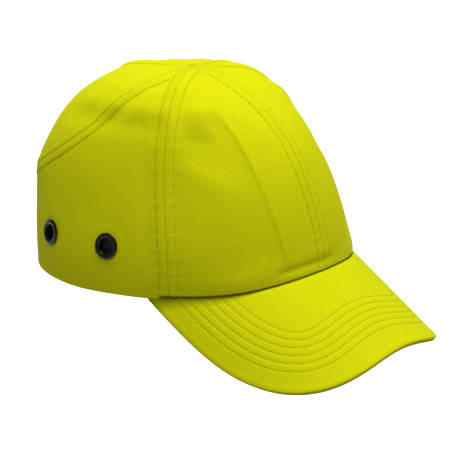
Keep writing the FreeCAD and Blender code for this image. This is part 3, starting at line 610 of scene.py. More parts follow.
def layer(name, chart, rows, columns, outside, inside, material, shaped=True, holes=(), crowded=0.0):
    """Cloth patch between two depths. shaped layers follow the crown's relief."""
    p, q = chart_grid(chart, rows, columns, crowded)
    base, out = crown(p, q), normal(p, q)
    lift, painted_shade = cloth_form(p, q) if shaped else (np.zeros(p.shape), None)
    grids = []
    for depth in (outside, inside):
        d = depth(p, q) if callable(depth) else depth
        grids.append(base + out * (lift - d)[..., None])
    return slab(name, *grids, material, holes=holes, painted_shade=painted_shade)


def sunk_slab(name, p, q, depth, thick, material, roll=0.3):
    """Closed piece under the crown's surface, thick from a depth down."""
    base, out = crown(p, q), normal(p, q)
    return slab(name, base - out * depth[..., None], base - out * (depth + thick)[..., None], material, roll)


def coons(bottom, top, left, right):
    """Chart patch between four curves. bottom and top run with s, left and right with t."""
    def chart(s, t):
        out = []
        zero, one = np.zeros(1), np.ones(1)
        for k in (0, 1):
            edges = (1 - t) * bottom(s)[k] + t * top(s)[k] + (1 - s) * left(t)[k] + s * right(t)[k]
            corners = ((1 - s) * (1 - t) * bottom(zero)[k] + s * (1 - t) * bottom(one)[k]
                       + (1 - s) * t * top(zero)[k] + s * t * top(one)[k])
            out.append(edges - corners)
        return tuple(out)
    return chart


def finish_piece(obj, body, slot, *nodes):
    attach(obj, body)
    if nodes:
        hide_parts(*nodes)


def finish_sheet(obj, slot, node, flat, rests_on, body="textile_cap", held="stretched", **area):
    finish_piece(obj, body, slot, node)


def finish_pad(obj, slot, node):
    finish_piece(obj, "insert", slot, node)


# ---------------------------------------------------------------- materials

class Shader:
    """Short ways to fill a node tree: a new material's, or that of the owner given."""

    def __init__(self, name, owner=None):
        self.owner = owner or bpy.data.materials.new(name)
        self.owner.use_nodes = True
        self.nodes, self.link = self.owner.node_tree.nodes, self.owner.node_tree.links.new

    def add(self, kind, vector=None, **values):
        """New node. values are its own settings or, failing that, its inputs' values."""
        node = self.nodes.new("ShaderNode" + kind)
        for key, value in values.items():
            if hasattr(node, key):
                setattr(node, key, value)
            else:
                node.inputs[key].default_value = value
        if vector is not None:
            self.link(vector, node.inputs["Vector"])
        return node

    def fill(self, socket, value):
        """Sets an input to a number or a colour, or links it to an output."""
        if isinstance(value, bpy.types.NodeSocket):
            self.link(value, socket)
        else:
            socket.default_value = (*value, 1) if isinstance(value, tuple) else value

    def on_object(self, kind, scale, **values):
        """Texture on the object's own coordinates."""
        return self.add(kind, self.add("TexCoord").outputs["Object"], Scale=scale, **values)

    def math(self, operation, *values):
        node = self.add("Math", operation=operation)
        for socket, value in zip(node.inputs, values):
            self.fill(socket, value)
        return node.outputs[0]

    def scaled(self, value, by, plus=None):
        product = self.math("MULTIPLY", value, by)
        return product if plus is None else self.math("ADD", product, plus)

    def mix(self, factor, a, b):
        node = self.add("Mix", data_type="RGBA")
        for key, value in (("Factor", factor), ("A", a), ("B", b)):
            self.fill(node.inputs[key], value)
        return node.outputs["Result"]

    def bump(self, height, strength, distance):
        node = self.add("Bump", Strength=strength, Distance=distance)
        self.link(height, node.inputs["Height"])
        return node.outputs[0]

    def surface(self, **values):
        """Fills the main shader's inputs, an underscore for each space. Returns the material."""
        for key, value in values.items():
            self.fill(self.nodes["Principled BSDF"].inputs[key.replace("_", " ")], value)
        return self.owner


TWILL_SLANTS, TWILL_DEPTH, TWILL_LEVEL = (0.64, -0.16), 0.34, 0.56
SLUB_STRETCH = (1.0, 0.18, 1.0)
WORN_FROM, WORN_FULLY = 0.53, 0.62


def twill(name, colour, dark, pitch=1.5 * MM, bump=0.5):
    """Woven twill: steep ribs broken into short dashes, on the piece's flat cloth coordinates.

    It paints shade into the colour, towards a much darker tone of it, as far as the mesh's point attribute
    for painted shade says.
    """
    shader = Shader(name)
    flat = shader.add("UVMap", uv_map="weave").outputs[0]
    u, v = shader.add("SeparateXYZ", flat).outputs[:2]
    wobble = shader.add("TexNoise", flat, Scale=160.0, Detail=2.0).outputs[0]
    shift = shader.scaled(wobble, 0.9)
    waves = [shader.math("SINE", shader.scaled(shader.scaled(u, slant, v), TAU / pitch, shift))
             for slant in TWILL_SLANTS]
    patch = shader.add("TexNoise", flat, Scale=330.0, Detail=1.0).outputs[0]
    height = shader.scaled(shader.math("ADD", *waves), shader.scaled(patch, TWILL_DEPTH), TWILL_LEVEL)
    drawn = shader.add("Mapping", flat, Scale=SLUB_STRETCH).outputs[0]
    slub = shader.add("TexNoise", drawn, Scale=900.0, Detail=3.0).outputs[0]
    cloud = shader.on_object("TexNoise", 22.0, Detail=3.0).outputs[0]
    painted_shade_amount = shader.add("Attribute", attribute_name="painted_shade").outputs["Fac"]
    base = shader.mix(height, dark, colour)
    for factor, share in ((slub, 0.35), (cloud, 0.16)):
        base = shader.mix(shader.scaled(factor, share), base, dark)
    # Painted shade: the colour goes towards a much darker tone of itself in seam grooves, the apex crease
    # and along the hem at the peak
    base = shader.mix(shader.scaled(painted_shade_amount, FOLD_SHADE), base, tuple(c * 0.12 for c in colour))
    return shader.surface(
        Base_Color=base, Normal=shader.bump(shader.scaled(slub, 0.5, height), bump, 0.3 * MM),
        Roughness=shader.scaled(slub, 0.14, 0.76), Sheen_Weight=0.12, Sheen_Roughness=0.5,
        Sheen_Tint=colour, Specular_IOR_Level=0.04)


def plain_material(name, colour, dark, roughness, grain, bump, distance=0.1 * MM, wear=None, **finish):
    """Moulded, foam, thread or metal finish: a fine grain, and worn edges where wear is a colour."""
    shader = Shader(name)
    fine = shader.on_object("TexNoise", grain, Detail=4.0).outputs[0]
    broad = shader.on_object("TexNoise", grain / 18, Detail=3.0).outputs[0]
    base = shader.mix(broad, dark, colour)
    if wear:
        ramp = shader.add("ValToRGB")
        for stop, at in zip(ramp.color_ramp.elements, (WORN_FROM, WORN_FULLY)):
            stop.position = at
        shader.link(shader.add("NewGeometry").outputs["Pointiness"], ramp.inputs[0])
        base = shader.mix(shader.scaled(ramp.outputs[0], fine), base, wear)
    return shader.surface(Base_Color=base, Normal=shader.bump(fine, bump, distance),
                          Roughness=shader.scaled(fine, 0.16, roughness - 0.08), **finish)


def pile_material(name, colour, dark, scale, bump, distance):
    """Towelling, hook or loop: a field of small bumps."""
    shader = Shader(name)
    cells = shader.on_object("TexVoronoi", scale).outputs["Distance"]
    fuzz = shader.on_object("TexNoise", scale * 2.5, Detail=3.0).outputs[0]
    return shader.surface(
        Base_Color=shader.mix(cells, colour, dark),
        Normal=shader.bump(shader.math("SUBTRACT", fuzz, cells), bump, distance),
        Roughness=shader.scaled(fuzz, 0.1, 0.85), Sheen_Weight=0.35)


TWILL = twill("yellow_twill", (0.84, 0.855, 0.002), (0.46, 0.47, 0.001))
LINING = twill("yellow_tape", (0.66, 0.68, 0.012), (0.50, 0.52, 0.006), pitch=0.8 * MM, bump=0.15)
WEBBING = twill("yellow_webbing", (0.68, 0.70, 0.008), (0.50, 0.52, 0.004), bump=0.35)
LABEL = twill("label_ribbon", (0.80, 0.80, 0.77), (0.70, 0.70, 0.67), pitch=0.5 * MM, bump=0.08)
# Colour, darker colour, roughness, grain, bump and its depth
THREAD = plain_material("yellow_thread", (0.42, 0.43, 0.001), (0.30, 0.31, 0.001), 0.8, 2500.0, 0.3,
                        Specular_IOR_Level=0.05)
METAL = plain_material("blackened_metal", (0.013, 0.013, 0.004), (0.006, 0.006, 0.002), 0.34, 900.0, 0.05,
                       0.05 * MM, wear=(0.035, 0.032, 0.016), Metallic=0.6, Coat_Weight=0.05,
                       Specular_IOR_Level=0.2)
STEEL = plain_material("steel_pin", (0.50, 0.50, 0.51), (0.36, 0.36, 0.37), 0.3, 1200.0, 0.05, Metallic=1.0)
ABS = plain_material("shell_abs", (0.020, 0.020, 0.022), (0.012, 0.012, 0.013), 0.45, 1400.0, 0.25,
                     0.08 * MM, wear=(0.06, 0.06, 0.06))
BUCKLE = plain_material("buckle_plastic", (0.018, 0.018, 0.018), (0.010, 0.010, 0.010), 0.38, 1800.0, 0.15,
                        0.05 * MM, wear=(0.05, 0.05, 0.05))
BOARD_PLASTIC = plain_material("board_plastic", (0.72, 0.72, 0.70), (0.62, 0.62, 0.60), 0.5, 800.0, 0.1)
FOAM = plain_material("eva_foam", (0.030, 0.030, 0.033), (0.018, 0.018, 0.020), 0.85, 1600.0, 0.6,
                      0.25 * MM, Specular_IOR_Level=0.2)
# Colour, darker colour, size, bump and its depth
TOWEL = pile_material("black_towelling", (0.030, 0.030, 0.032), (0.008, 0.008, 0.009), 900.0, 0.7, 0.6 * MM)
HOOK = pile_material("hook_patch", (0.020, 0.020, 0.021), (0.006, 0.006, 0.006), 1100.0, 0.9, 0.7 * MM)
LOOP = pile_material("loop_patch", (0.035, 0.035, 0.037), (0.010, 0.010, 0.010), 700.0, 0.8, 0.6 * MM)


# ---------------------------------------------------------------- stitches

# Along a stitch: share of its length, share of the thread's radius, and height of the thread in mm
STITCH_FORM = np.array([(0.0, 0.45, -0.42), (0.1, 0.85, -0.10), (0.32, 1.0, 0.04),
                        (0.68, 1.0, 0.04), (0.9, 0.85, -0.10), (1.0, 0.45, -0.42)])
THREAD_SIDES = 6


def stitch_rings(line, out, pitch):
    """Vertices and faces of the stitches along a line. out is the surface normal on the line."""
    along = run_length(line)
    count = int(along[-1] / pitch)
    starts = (along[-1] - count * pitch) / 2 + STITCH_GAP / 2 + pitch * np.arange(count)
    shares, sizes, lifts = STITCH_FORM.T
    at = starts[:, None] + shares * (pitch - STITCH_GAP)
    centre, up = (np.stack([np.interp(at, along, rows[:, k]) for k in range(3)], -1) for rows in (line, out))
    up = unit(up)
    run = unit(centre[:, -1:] - centre[:, :1])
    side = unit(np.cross(np.broadcast_to(run, up.shape), up))
    centre = centre + up * (lifts * MM)[:, None]
    turn = np.arange(THREAD_SIDES) * TAU / THREAD_SIDES
    round_x, round_y = (np.outer(sizes * THREAD_R, wave(turn))[..., None] for wave in (np.cos, np.sin))
    ring = centre[:, :, None] + side[:, :, None] * round_x + up[:, :, None] * round_y
    faces = grid_faces(len(shares), THREAD_SIDES + 1)
    faces = faces // (THREAD_SIDES + 1) * THREAD_SIDES + faces % (THREAD_SIDES + 1) % THREAD_SIDES
    last = (len(shares) - 1) * THREAD_SIDES
    caps = np.array([(0, 5, 4, 3), (0, 3, 2, 1), (last, last + 1, last + 2, last + 3),
                     (last, last + 3, last + 4, last + 5)])
    faces = np.concatenate([faces[:, [0, 3, 2, 1]], caps])
    per = len(shares) * THREAD_SIDES
    return ring.reshape(-1, 3), (faces[None] + (np.arange(count) * per)[:, None, None]).reshape(-1, 4)


def stitches(name, lines, body, slot, pitch=STITCH_PITCH):
    """One object holding the stitches of several lines."""
    vertices, faces, start = [], [], 0
    for line, out in lines:
        v, f = stitch_rings(line, out, pitch)
        vertices.append(v)
        faces.append(f + start)
        start += len(v)
    finish_piece(make_object(name, np.concatenate(vertices), np.concatenate(faces), THREAD), body, slot)


def row_beside(curve, gap, start, end, samples=260):
    """Line of stitching beside a chart curve, gap to its left, on the shaped cloth."""
    p, q = curve(np.linspace(start, end, samples))
    here, out = crown(p, q), normal(p, q)
    side = unit(np.cross(out, np.gradient(here, axis=0))) * gap
    p, q = step_on_chart(p, q, side)
    return cloth_surface(p, q), normal(p, q)


# ---------------------------------------------------------------- crown

def hem_tuck(psi):
    """How far past the hem the cloth runs, down into the seam with the peak or round its own turned-in edge.
    """
    in_seam = fall(np.abs(psi), PEAK_END - 0.10, 0.06)
    return 0.011 * in_seam + (0.004 + 0.006 * bell(np.abs(psi), 1.32, 0.25)) * (1 - in_seam)


def front_chart(s, t):
    start = 1 + hem_tuck(side_seam(1.0) * s)
    rho = start + (0.001 - start) * t
    return polar(rho, side_seam(rho) * s)


def side_chart():
    corner = math.atan2(*(float(v) for v in arch(np.array(0.0))))
    foot = side_seam(1.0)
    return coons(
        bottom=lambda s: polar(1 + hem_tuck(foot + (corner - foot) * s), foot + (corner - foot) * s),
        top=REAR_SEAM,
        left=down(side_seam, 1 + hem_tuck(foot), 0.0),
        right=lambda t: arch(JOIN * t))


def rear_panel_chart():
    return coons(
        bottom=lambda s: (0 * s, 0 * s),
        top=lambda s: arch(JOIN + (math.pi / 2 - JOIN) * s),
        left=REAR_SEAM,
        right=lambda t: (0 * t, -ARCH_TOP * t))


def vent_holes(side):
    """Where one side panel is punched for its eyelets."""
    holes = []
    for psi, z in EYELETS:
        p, q = polar(rho_at(side * psi, z), side * psi)
        holes.append((crown(p, q), normal(p, q), EYELET_CLOTH_R))
    return holes


VENT_CENTRES = np.array([hole[0] * (side, 1, 1) for side in (1, -1) for hole in vent_holes(1)])


# Chart, grid, flat size and area of each
PANELS = (("front_panel", front_chart, (200, 220), (0.135, 0.165), 0.0137),
          ("side_panel", side_chart(), (250, 220), (0.165, 0.150), 0.0162),
          ("rear_panel", rear_panel_chart(), (190, 190), (0.125, 0.150), 0.0109))


def build_panels():
    for name, chart, grid, flat, area in PANELS:
        for side, label, at in ((1, "_right", chart), (-1, "_left", left_side(chart))):
            holes = vent_holes(side) if name == "side_panel" else ()
            obj = layer(name + label + "_cloth", at, *grid, 0.0, CLOTH, TWILL, holes=holes, crowded=0.6)
            finish_sheet(obj, "yellow_twill", name + label, flat, "inner_shell", area=area)


def build_seam_stitching():
    rows = []
    for name, curve in SEAMS.items():
        end = 0.985 if name in ("front", "side_right", "side_left") else 0.96
        start = 0.075 if name != "rear_centre" else 0.14
        for gap in (ROW_FROM_SEAM, -ROW_FROM_SEAM):
            rows.append(row_beside(curve, gap, start, end))
    stitches("crown_stitching", rows, "textile_cap", "yellow_twill")


# ---------------------------------------------------------------- peak

def peak_point(x, forward, depth):
    root = np.sqrt(PEAK_BEND_R ** 2 - x * x)
    up = unit(np.stack([x / root, np.full(x.shape, -math.tan(PEAK_PITCH)), np.ones(x.shape)], -1))
    return np.stack([x, -forward, peak_height(x, forward)], -1) - up * np.asarray(depth)[..., None], up


def peak_edge(turn):
    c, k = np.cos(turn * math.pi / 2), np.sin(turn * math.pi / 2)
    scale = (np.abs(c) ** PEAK_CORNERS + np.abs(k) ** PEAK_CORNERS) ** (-1 / PEAK_CORNERS)
    ahead = HALF_LENGTH + PEAK_REACH - PEAK_BACK
    return np.stack([PEAK_HALF_WIDTH * scale * k, PEAK_BACK + ahead * scale * c], -1)


def peak_seam(turn, gap=PEAK_SEAM_GAP):
    p, q = polar(1.0, -turn * PEAK_END)
    at = crown(p, q) + unit(normal(p, q) * (1, 1, 0)) * gap
    return at[..., :2] * (1, -1)


BEND_X = np.linspace(-PEAK_BEND_R * 0.995, PEAK_BEND_R * 0.995, 4001)
BEND_LENGTH = np.concatenate([[0], np.cumsum(np.hypot(
    np.diff(BEND_X), np.diff(np.sqrt(PEAK_BEND_R ** 2 - BEND_X ** 2)) * math.cos(PEAK_PITCH)))])
BEND_LENGTH -= BEND_LENGTH[2000]


def unroll(plan):
    """Flat cutting-pattern place of a plan place on the peak."""
    x, forward = plan[..., 0], plan[..., 1]
    along = forward * math.cos(PEAK_PITCH) - peak_height(x, forward) * math.sin(PEAK_PITCH)
    return np.stack([np.interp(x, BEND_X, BEND_LENGTH), along], -1)


def roll_up(flat):
    """Plan place from a flat one."""
    x = np.interp(flat[..., 0], BEND_LENGTH, BEND_X)
    slope, level = math.sin(PEAK_PITCH), math.cos(PEAK_PITCH)
    at_zero = -peak_height(x, 0 * x) * slope
    forward = (flat[..., 1] - at_zero) / (level + slope * math.tan(PEAK_PITCH))
    return np.stack([x, forward], -1)


EDGE_FLAT = unroll(peak_edge(np.linspace(-1, 1, 700)))


def edge_distance(plan):
    flat = unroll(plan).reshape(-1, 2)
    best = np.empty(len(flat))
    for i in range(0, len(flat), 4000):
        chunk = flat[i:i + 4000]
        a, b = EDGE_FLAT[:-1], EDGE_FLAT[1:]
        d2 = ((chunk[:, None] - (a + b)[None] / 2) ** 2).sum(2)
        k = d2.argmin(1)
        run = b[k] - a[k]
        f = np.clip(dot(chunk - a[k], run) / dot(run, run), 0, 1)
        best[i:i + 4000] = norm(chunk - a[k] - run * f[:, None])
    return best.reshape(plan.shape[:-1])


def tip_margin(x):
    """How much further in from the edge the rows run round the peak's tip."""
    return PEAK_ROW_TIP * bell(x, PEAK_ROW_TIP_AT, PEAK_ROW_TIP_SPAN)


def row_at(distance):
    """Plan line of a row, at one distance in from the peak's edge except round the tip."""
    run = np.gradient(EDGE_FLAT, axis=0)
    inward = unit(np.stack([run[:, 1], -run[:, 0]], -1))
    margin = 0.0
    for _ in range(6):
        plan = roll_up(EDGE_FLAT + inward * (distance + margin))
        margin = tip_margin(plan[:, :1])
    far = edge_distance(plan) > distance + margin[:, 0] - 0.08 * MM
    return plan[far & outside_crown(*plan.T)]


SEAM_PLAN = peak_seam(np.linspace(-1, 1, 400))


def outside_crown(x, forward):
    """True where a plan place is in front of the crown's seam with the peak."""
    limit = np.interp(x, SEAM_PLAN[:, 0], SEAM_PLAN[:, 1])
    return (np.abs(x) < SEAM_PLAN[-1, 0] - 2 * MM) & (forward > limit + 1.5 * MM)


# In mm, bells as above
# The second bell's height is the share of painted shade in a row's groove
ROW_GROOVE, ROW_PAINTED_SHADE, ROW_SWELL = (-0.20, 0, 0.5), (0.26, 0, 0.32), 0.05
EDGE_DROP, EDGE_WELT, PEAK_SINK = 0.6, (0.2, 3.0, 1.8), 1.5


def peak_relief(distance, seam_gap, x):
    """Rows of stitching press grooves into the cover, and the cloth swells between them.

    Returns the height and the painted shade in the rows' grooves.
    """
    from_edge = distance / MM
    d = (distance - tip_margin(x)) / MM
    first, step = PEAK_ROW_FROM_EDGE / MM, PEAK_ROW_SPACING / MM
    row = np.clip((d - first) / step, 0, PEAK_ROWS - 1)
    from_row = d - first - np.round(row) * step
    between = ROW_SWELL * np.cos(row * TAU + math.pi)
    between = np.where((d > first - 1) & (d < first + step * (PEAK_ROWS - 1) + 1), between, -ROW_SWELL)
    edge = -EDGE_DROP * fall(from_edge, 0, 1.4) ** 2 + bells(from_edge, EDGE_WELT)
    tuck = -PEAK_SINK * fall(seam_gap, 0, 5 * MM)
    return (bells(from_row, ROW_GROOVE) + between + edge + tuck) * MM, bells(from_row, ROW_PAINTED_SHADE)


def peak_grid(rows, columns):
    turn = np.linspace(-COVER_SPAN, COVER_SPAN, rows)
    t = np.linspace(0, 1, columns)
    at_end = rise(np.abs(turn), 0.9, 0.1)
    seam, edge = peak_seam(turn * (1 + 0.026 * at_end), PEAK_TUCK), peak_edge(turn)
    edge[:, 1] -= PEAK_END_RUN * at_end
    return seam[:, None] + (edge - seam)[:, None] * t[None, :, None]


PEAK_GRID, PEAK_FLAT, PEAK_AREA = (420, 150), (0.260, 0.150), 0.0167


def build_peak():
    plan = peak_grid(*PEAK_GRID)
    distance = edge_distance(plan)
    seam_gap = norm(plan - plan[:, :1])
    x, forward = plan[..., 0], plan[..., 1]
    shape, painted_row_shade = peak_relief(distance, seam_gap, x)
    to_edge = np.clip(norm(plan - plan[:, -1:]) / EDGE_ROUND, 0, 1)
    turn = np.abs(np.linspace(-COVER_SPAN, COVER_SPAN, PEAK_GRID[0]))[:, None]
    # Painted shade on the peak: the hem's shadow next to the seam, wider towards the peak's ends, and the
    # rows' grooves
    shadow = (1.8 + 3.4 * rise(turn, 0.40, 0.30)) * MM
    painted_shade = np.maximum(fall(seam_gap, -PEAK_TUCK, shadow), painted_row_shade)
    outer, up = peak_point(x, forward, -shape)
    thin_end = fall(turn, 0.88, 0.10)
    wrap = EDGE_WRAP * (1 - to_edge) * thin_end
    inner, _ = peak_point(x, forward, np.maximum(COVER, 0.35 * MM - shape) + wrap)
    top = slab("peak_top_cloth", outer, inner, TWILL, painted_shade=painted_shade)
    finish_sheet(top, "yellow_twill", "peak_cover_top", PEAK_FLAT, "peak_board", area=PEAK_AREA)
    spread = EDGE_WRAP + (BOARD + PLY_GAP - EDGE_WRAP) * (1 - (1 - to_edge) ** 2)
    under_depth = COVER + PLY_GAP + spread * thin_end
    outer, _ = peak_point(x, forward, under_depth)
    inner, _ = peak_point(x, forward, under_depth + COVER + shape)
    under = slab("peak_under_cloth", outer, inner, TWILL)
    finish_sheet(under, "yellow_twill", "peak_cover_under", PEAK_FLAT, "peak_board", area=PEAK_AREA)
    lines = []
    for k in range(PEAK_ROWS):
        line = row_at(PEAK_ROW_FROM_EDGE + k * PEAK_ROW_SPACING)
        lift, _ = peak_relief(edge_distance(line), np.full(len(line), 1.0), line[:, 0])
        for depth, face in ((-lift, 1), (COVER * 2 + BOARD + PLY_GAP * 2 + lift, -1)):
            at, up = peak_point(line[:, 0], line[:, 1], depth)
            lines.append((at, up * face))
    stitches("peak_stitching", lines, "textile_cap", "yellow_twill")


# ---------------------------------------------------------------- inside of the cap

TAPE_TOP, TAPE_STAGGER, REAR_TAPE = 0.07, 0.03, (0.17, 0.87)
ARCH_FACING_END = 0.62


def tape_chart(curve):
    """Strip as wide as a tape along a chart curve."""
    def chart(s, t):
        p, q = curve(t)
        h = 1e-3
        a, b = curve(np.clip(t - h, 0, 1)), curve(np.clip(t + h, 0, 1))
        side = unit(np.cross(normal(p, q), crown(*b) - crown(*a)))
        return step_on_chart(p, q, side * (TAPE_HALF_WIDTH * (2 * s - 1))[..., None])
    return chart


def build_linings():
    inside = CLOTH + PLY_GAP

    def low(psi):
        return float(rho_at(psi, hem_height(psi) + FACING_HEIGHT + 2 * MM))
    arch_z = crown(*arch(np.array(math.pi / 2)))[2]
    above_arch = float(rho_at(math.pi, arch_z + ARCH_FACING + 3 * MM))
    start, end = REAR_TAPE
    rear = lambda t: REAR_SEAM(start + (end - start) * t)
    side = down(side_seam, low(side_seam(1.0)), TAPE_TOP + TAPE_STAGGER)
    tapes = {"front": down(0.0, low(0.0), TAPE_TOP), "side_right": side, "side_left": left_side(side),
             "rear_right": rear, "rear_left": left_side(rear),
             "rear_centre": down(math.pi, above_arch, TAPE_TOP + TAPE_STAGGER)}
    for place, curve in tapes.items():
        name = "seam_tape_" + place
        obj = layer(name + "_cloth", tape_chart(curve), 9, 120, inside, inside + TAPE, LINING)
        finish_sheet(obj, "yellow_tape", name, (2 * TAPE_HALF_WIDTH, reach(curve)[1]), "inner_shell")

    def facing_chart(s, t):
        psi = -FACING_END + 2 * FACING_END * t
        z = hem_height(psi) + 1 * MM + FACING_HEIGHT * s
        return polar(rho_at(psi, z), psi)
    facing = layer("hem_facing_cloth", facing_chart, 18, 360, inside, inside + FACING, LINING)
    finish_sheet(facing, "yellow_tape", "hem_facing", (0.492, FACING_HEIGHT), "front_panel_right")

    def arch_chart(s, t):
        angle = ARCH_FACING_END + (math.pi - 2 * ARCH_FACING_END) * t
        p, q = arch(angle)
        a, b = arch(angle - 0.01), arch(angle + 0.01)
        out = unit(np.cross(normal(p, q), crown(*b) - crown(*a)))
        out = out * np.where(out[..., 2:] < 0, -1.0, 1.0)
        here = crown(p, q) + out * (1 * MM + ARCH_FACING * s)[..., None]
        return rear_chart(-here[..., 0], here[..., 2])
    facing = layer("arch_facing_cloth", arch_chart, 9, 120, inside, inside + TAPE, LINING)
    finish_sheet(facing, "yellow_tape", "arch_facing", (0.095, ARCH_FACING), "rear_panel_right")


# ---------------------------------------------------------------- insert

def shell_depth(p, q):
    turn = np.abs(np.arctan2(p, q))
    start, end = SET_IN_TURN
    back = rise(turn, start, end - start)
    return SHELL_DEPTH + SHELL_REAR_SET_IN * back * rise(np.hypot(p, q), 0.30, 0.40)


def rim_height(psi):
    front = (RIM_FRONT - RIM_SIDE) * np.maximum(np.cos(psi), 0.0) ** 1.5
    start, end = RIM_TURN
    return RIM_SIDE + front + (RIM_REAR - RIM_SIDE) * rise(np.abs(psi), start, end - start)


def pillow(name, chart, rows, columns, thick, material, dimple, crown_by=0.35):
    """Padded piece on the shell's inside. Its free face is crowned and its edge is drawn down."""
    s, t = unit_grid(rows, columns)
    p, q = chart(s, t)
    base = crown(p, q)
    start = shell_depth(p, q) + SHELL + 0.1 * MM
    edge = np.minimum(np.minimum(s, 1 - s) * (rows - 1), np.minimum(t, 1 - t) * (columns - 1))
    size = norm(base[1, 1] - base[0, 0]) / 1.4
    drawn = np.sqrt(np.clip(1 - (1 - np.clip(edge * size / (thick * 0.9), 0, 1)) ** 2, 0, 1))
    puff = (1 - crown_by) + crown_by * np.sin(math.pi * s) ** 0.5 * np.sin(math.pi * t) ** 0.5
    thick = np.maximum(thick * drawn * puff - dimple(s, t, base), 0.25 * MM)
    return sunk_slab(name, p, q, start, thick, material, roll=0.05)


PAD_HOLE_SPACING, PAD_HOLE_R, PAD_HOLE_DEPTH = 11 * MM, 2.4 * MM, 2.2 * MM
BAND_BELOW_RIM, BAND_HEIGHT = 6 * MM, 34 * MM
CROWN_HOLES, CROWN_HOLE_R, CROWN_HOLE_DEPTH = (20 * MM, 24 * MM), 3.2, 4.2 * MM
CROWN_PAD, CROWN_PAD_SHIFT = (0.245, 0.270), 0.012
PATCH_TURNS, PATCH_Z, PATCH_HEIGHT, PATCH_HALF_TURN = (40, 122, -40, -122), 76 * MM, 20 * MM, 7


def build_insert():
    deg = np.radians

    def sector(psi_from, psi_to, rho_from, rho_to):
        start, end = deg(psi_from), deg(psi_to)
        return lambda s, t: polar(rho_from + (rho_to - rho_from) * t, start + (end - start) * s)

    def pressed_holes(s, t, base):
        u, w, v = np.moveaxis(base / PAD_HOLE_SPACING % 1 - 0.5, -1, 0)
        flat = np.hypot(np.where(np.abs(base[..., 1]) > np.abs(base[..., 0]), u, w), v)
        edge = np.minimum(np.minimum(s, 1 - s), np.minimum(t, 1 - t))
        return PAD_HOLE_DEPTH * fall(flat * PAD_HOLE_SPACING / PAD_HOLE_R, 0.8, 0.4) * (edge > 0.12)
    for name, chart in (("front_pad", sector(-34, 34, 0.50, 0.70)),
                        ("side_pad_right", sector(58, 112, 0.50, 0.72)),
                        ("side_pad_left", sector(-112, -58, 0.50, 0.72)),
                        ("rear_pad", sector(146, 214, 0.42, 0.66))):
        obj = pillow(name + "_foam", chart, 150, 80, PAD, FOAM, pressed_holes)
        finish_pad(obj, "eva_foam", name)
    finish_pad(crown_pad(), "eva_foam", "crown_pad")

    def sweat_chart(s, t):
        psi = -SWEATBAND_END + 2 * SWEATBAND_END * t
        z = rim_height(psi) - BAND_BELOW_RIM + BAND_HEIGHT * s
        return polar(rho_at(psi, z), psi)

    def sewn(s, *_):
        return MM * bells(s, (0.9, 0.13, 0.025), (0.9, 0.87, 0.025))
    obj = pillow("sweatband_towelling", sweat_chart, 60, 520, SWEATBAND, TOWEL, sewn, crown_by=0.25)
    finish_pad(obj, "black_towelling", "sweatband")

    def hook_outside(p, q):
        return np.minimum(CLOTH + 1.2 * MM - relief(p, q), SHELL_DEPTH - 0.5 * MM)

    for kind, material, outside, inside, body in (
            ("loop", LOOP, CLOTH + PLY_GAP, CLOTH + PLY_GAP + 0.8 * MM, "textile_cap"),
            ("hook", HOOK, hook_outside, SHELL_DEPTH - PLY_GAP, "insert")):
        for psi in PATCH_TURNS:
            def patch(s, t, psi=psi):
                a = deg(psi - PATCH_HALF_TURN + 2 * PATCH_HALF_TURN * s)
                return polar(rho_at(a, PATCH_Z + PATCH_HEIGHT * t), a)
            place = ("_front" if abs(psi) < 90 else "_rear") + ("_right" if psi > 0 else "_left")
            obj = layer(kind + "_patch" + place, patch, 30, 30, outside, inside, material, kind == "loop")
            nodes = [kind + "_patches"] if psi == PATCH_TURNS[0] else []
            finish_piece(obj, body, "hook_and_loop", *nodes)


def crown_pad():
    """Oval pad at the top, with a ring of vent holes pressed into it."""
    s, t = unit_grid(160, 60, 0.02)
    p = CROWN_PAD[0] * t * np.cos(TAU * s)
    q = CROWN_PAD[1] * t * np.sin(TAU * s) - CROWN_PAD_SHIFT
    drawn = np.sqrt(np.clip(1 - np.clip((t - 0.90) / 0.10, 0, 1) ** 2, 0, 1))
    thick = PAD * drawn * (0.82 + 0.18 * np.cos(t * math.pi / 2))
    for turn in np.radians(np.arange(30, 390, 60)):
        hole = CROWN_HOLES * np.array([math.sin(turn), math.cos(turn)]) + (0, APEX_SHIFT)
        from_hole = norm(crown(p, q)[..., :2] - hole) / MM
        thick = thick - CROWN_HOLE_DEPTH * fall(from_hole, CROWN_HOLE_R, 1.6)
    start = shell_depth(p, q) + SHELL + 0.3 * MM
    return sunk_slab("crown_pad_foam", p, q, start, np.maximum(thick, 0.2 * MM), FOAM, roll=0.05)


# ---------------------------------------------------------------- strap and buckle

def strap_place(x, z, depth):
    """Point on the strap's arc: x across, z high, depth in from its outside."""
    turn = np.arcsin(x / STRAP_R)
    r = STRAP_R - depth
    return np.stack([r * np.sin(turn), STRAP_CENTRE_Y + r * np.cos(turn), z], -1)


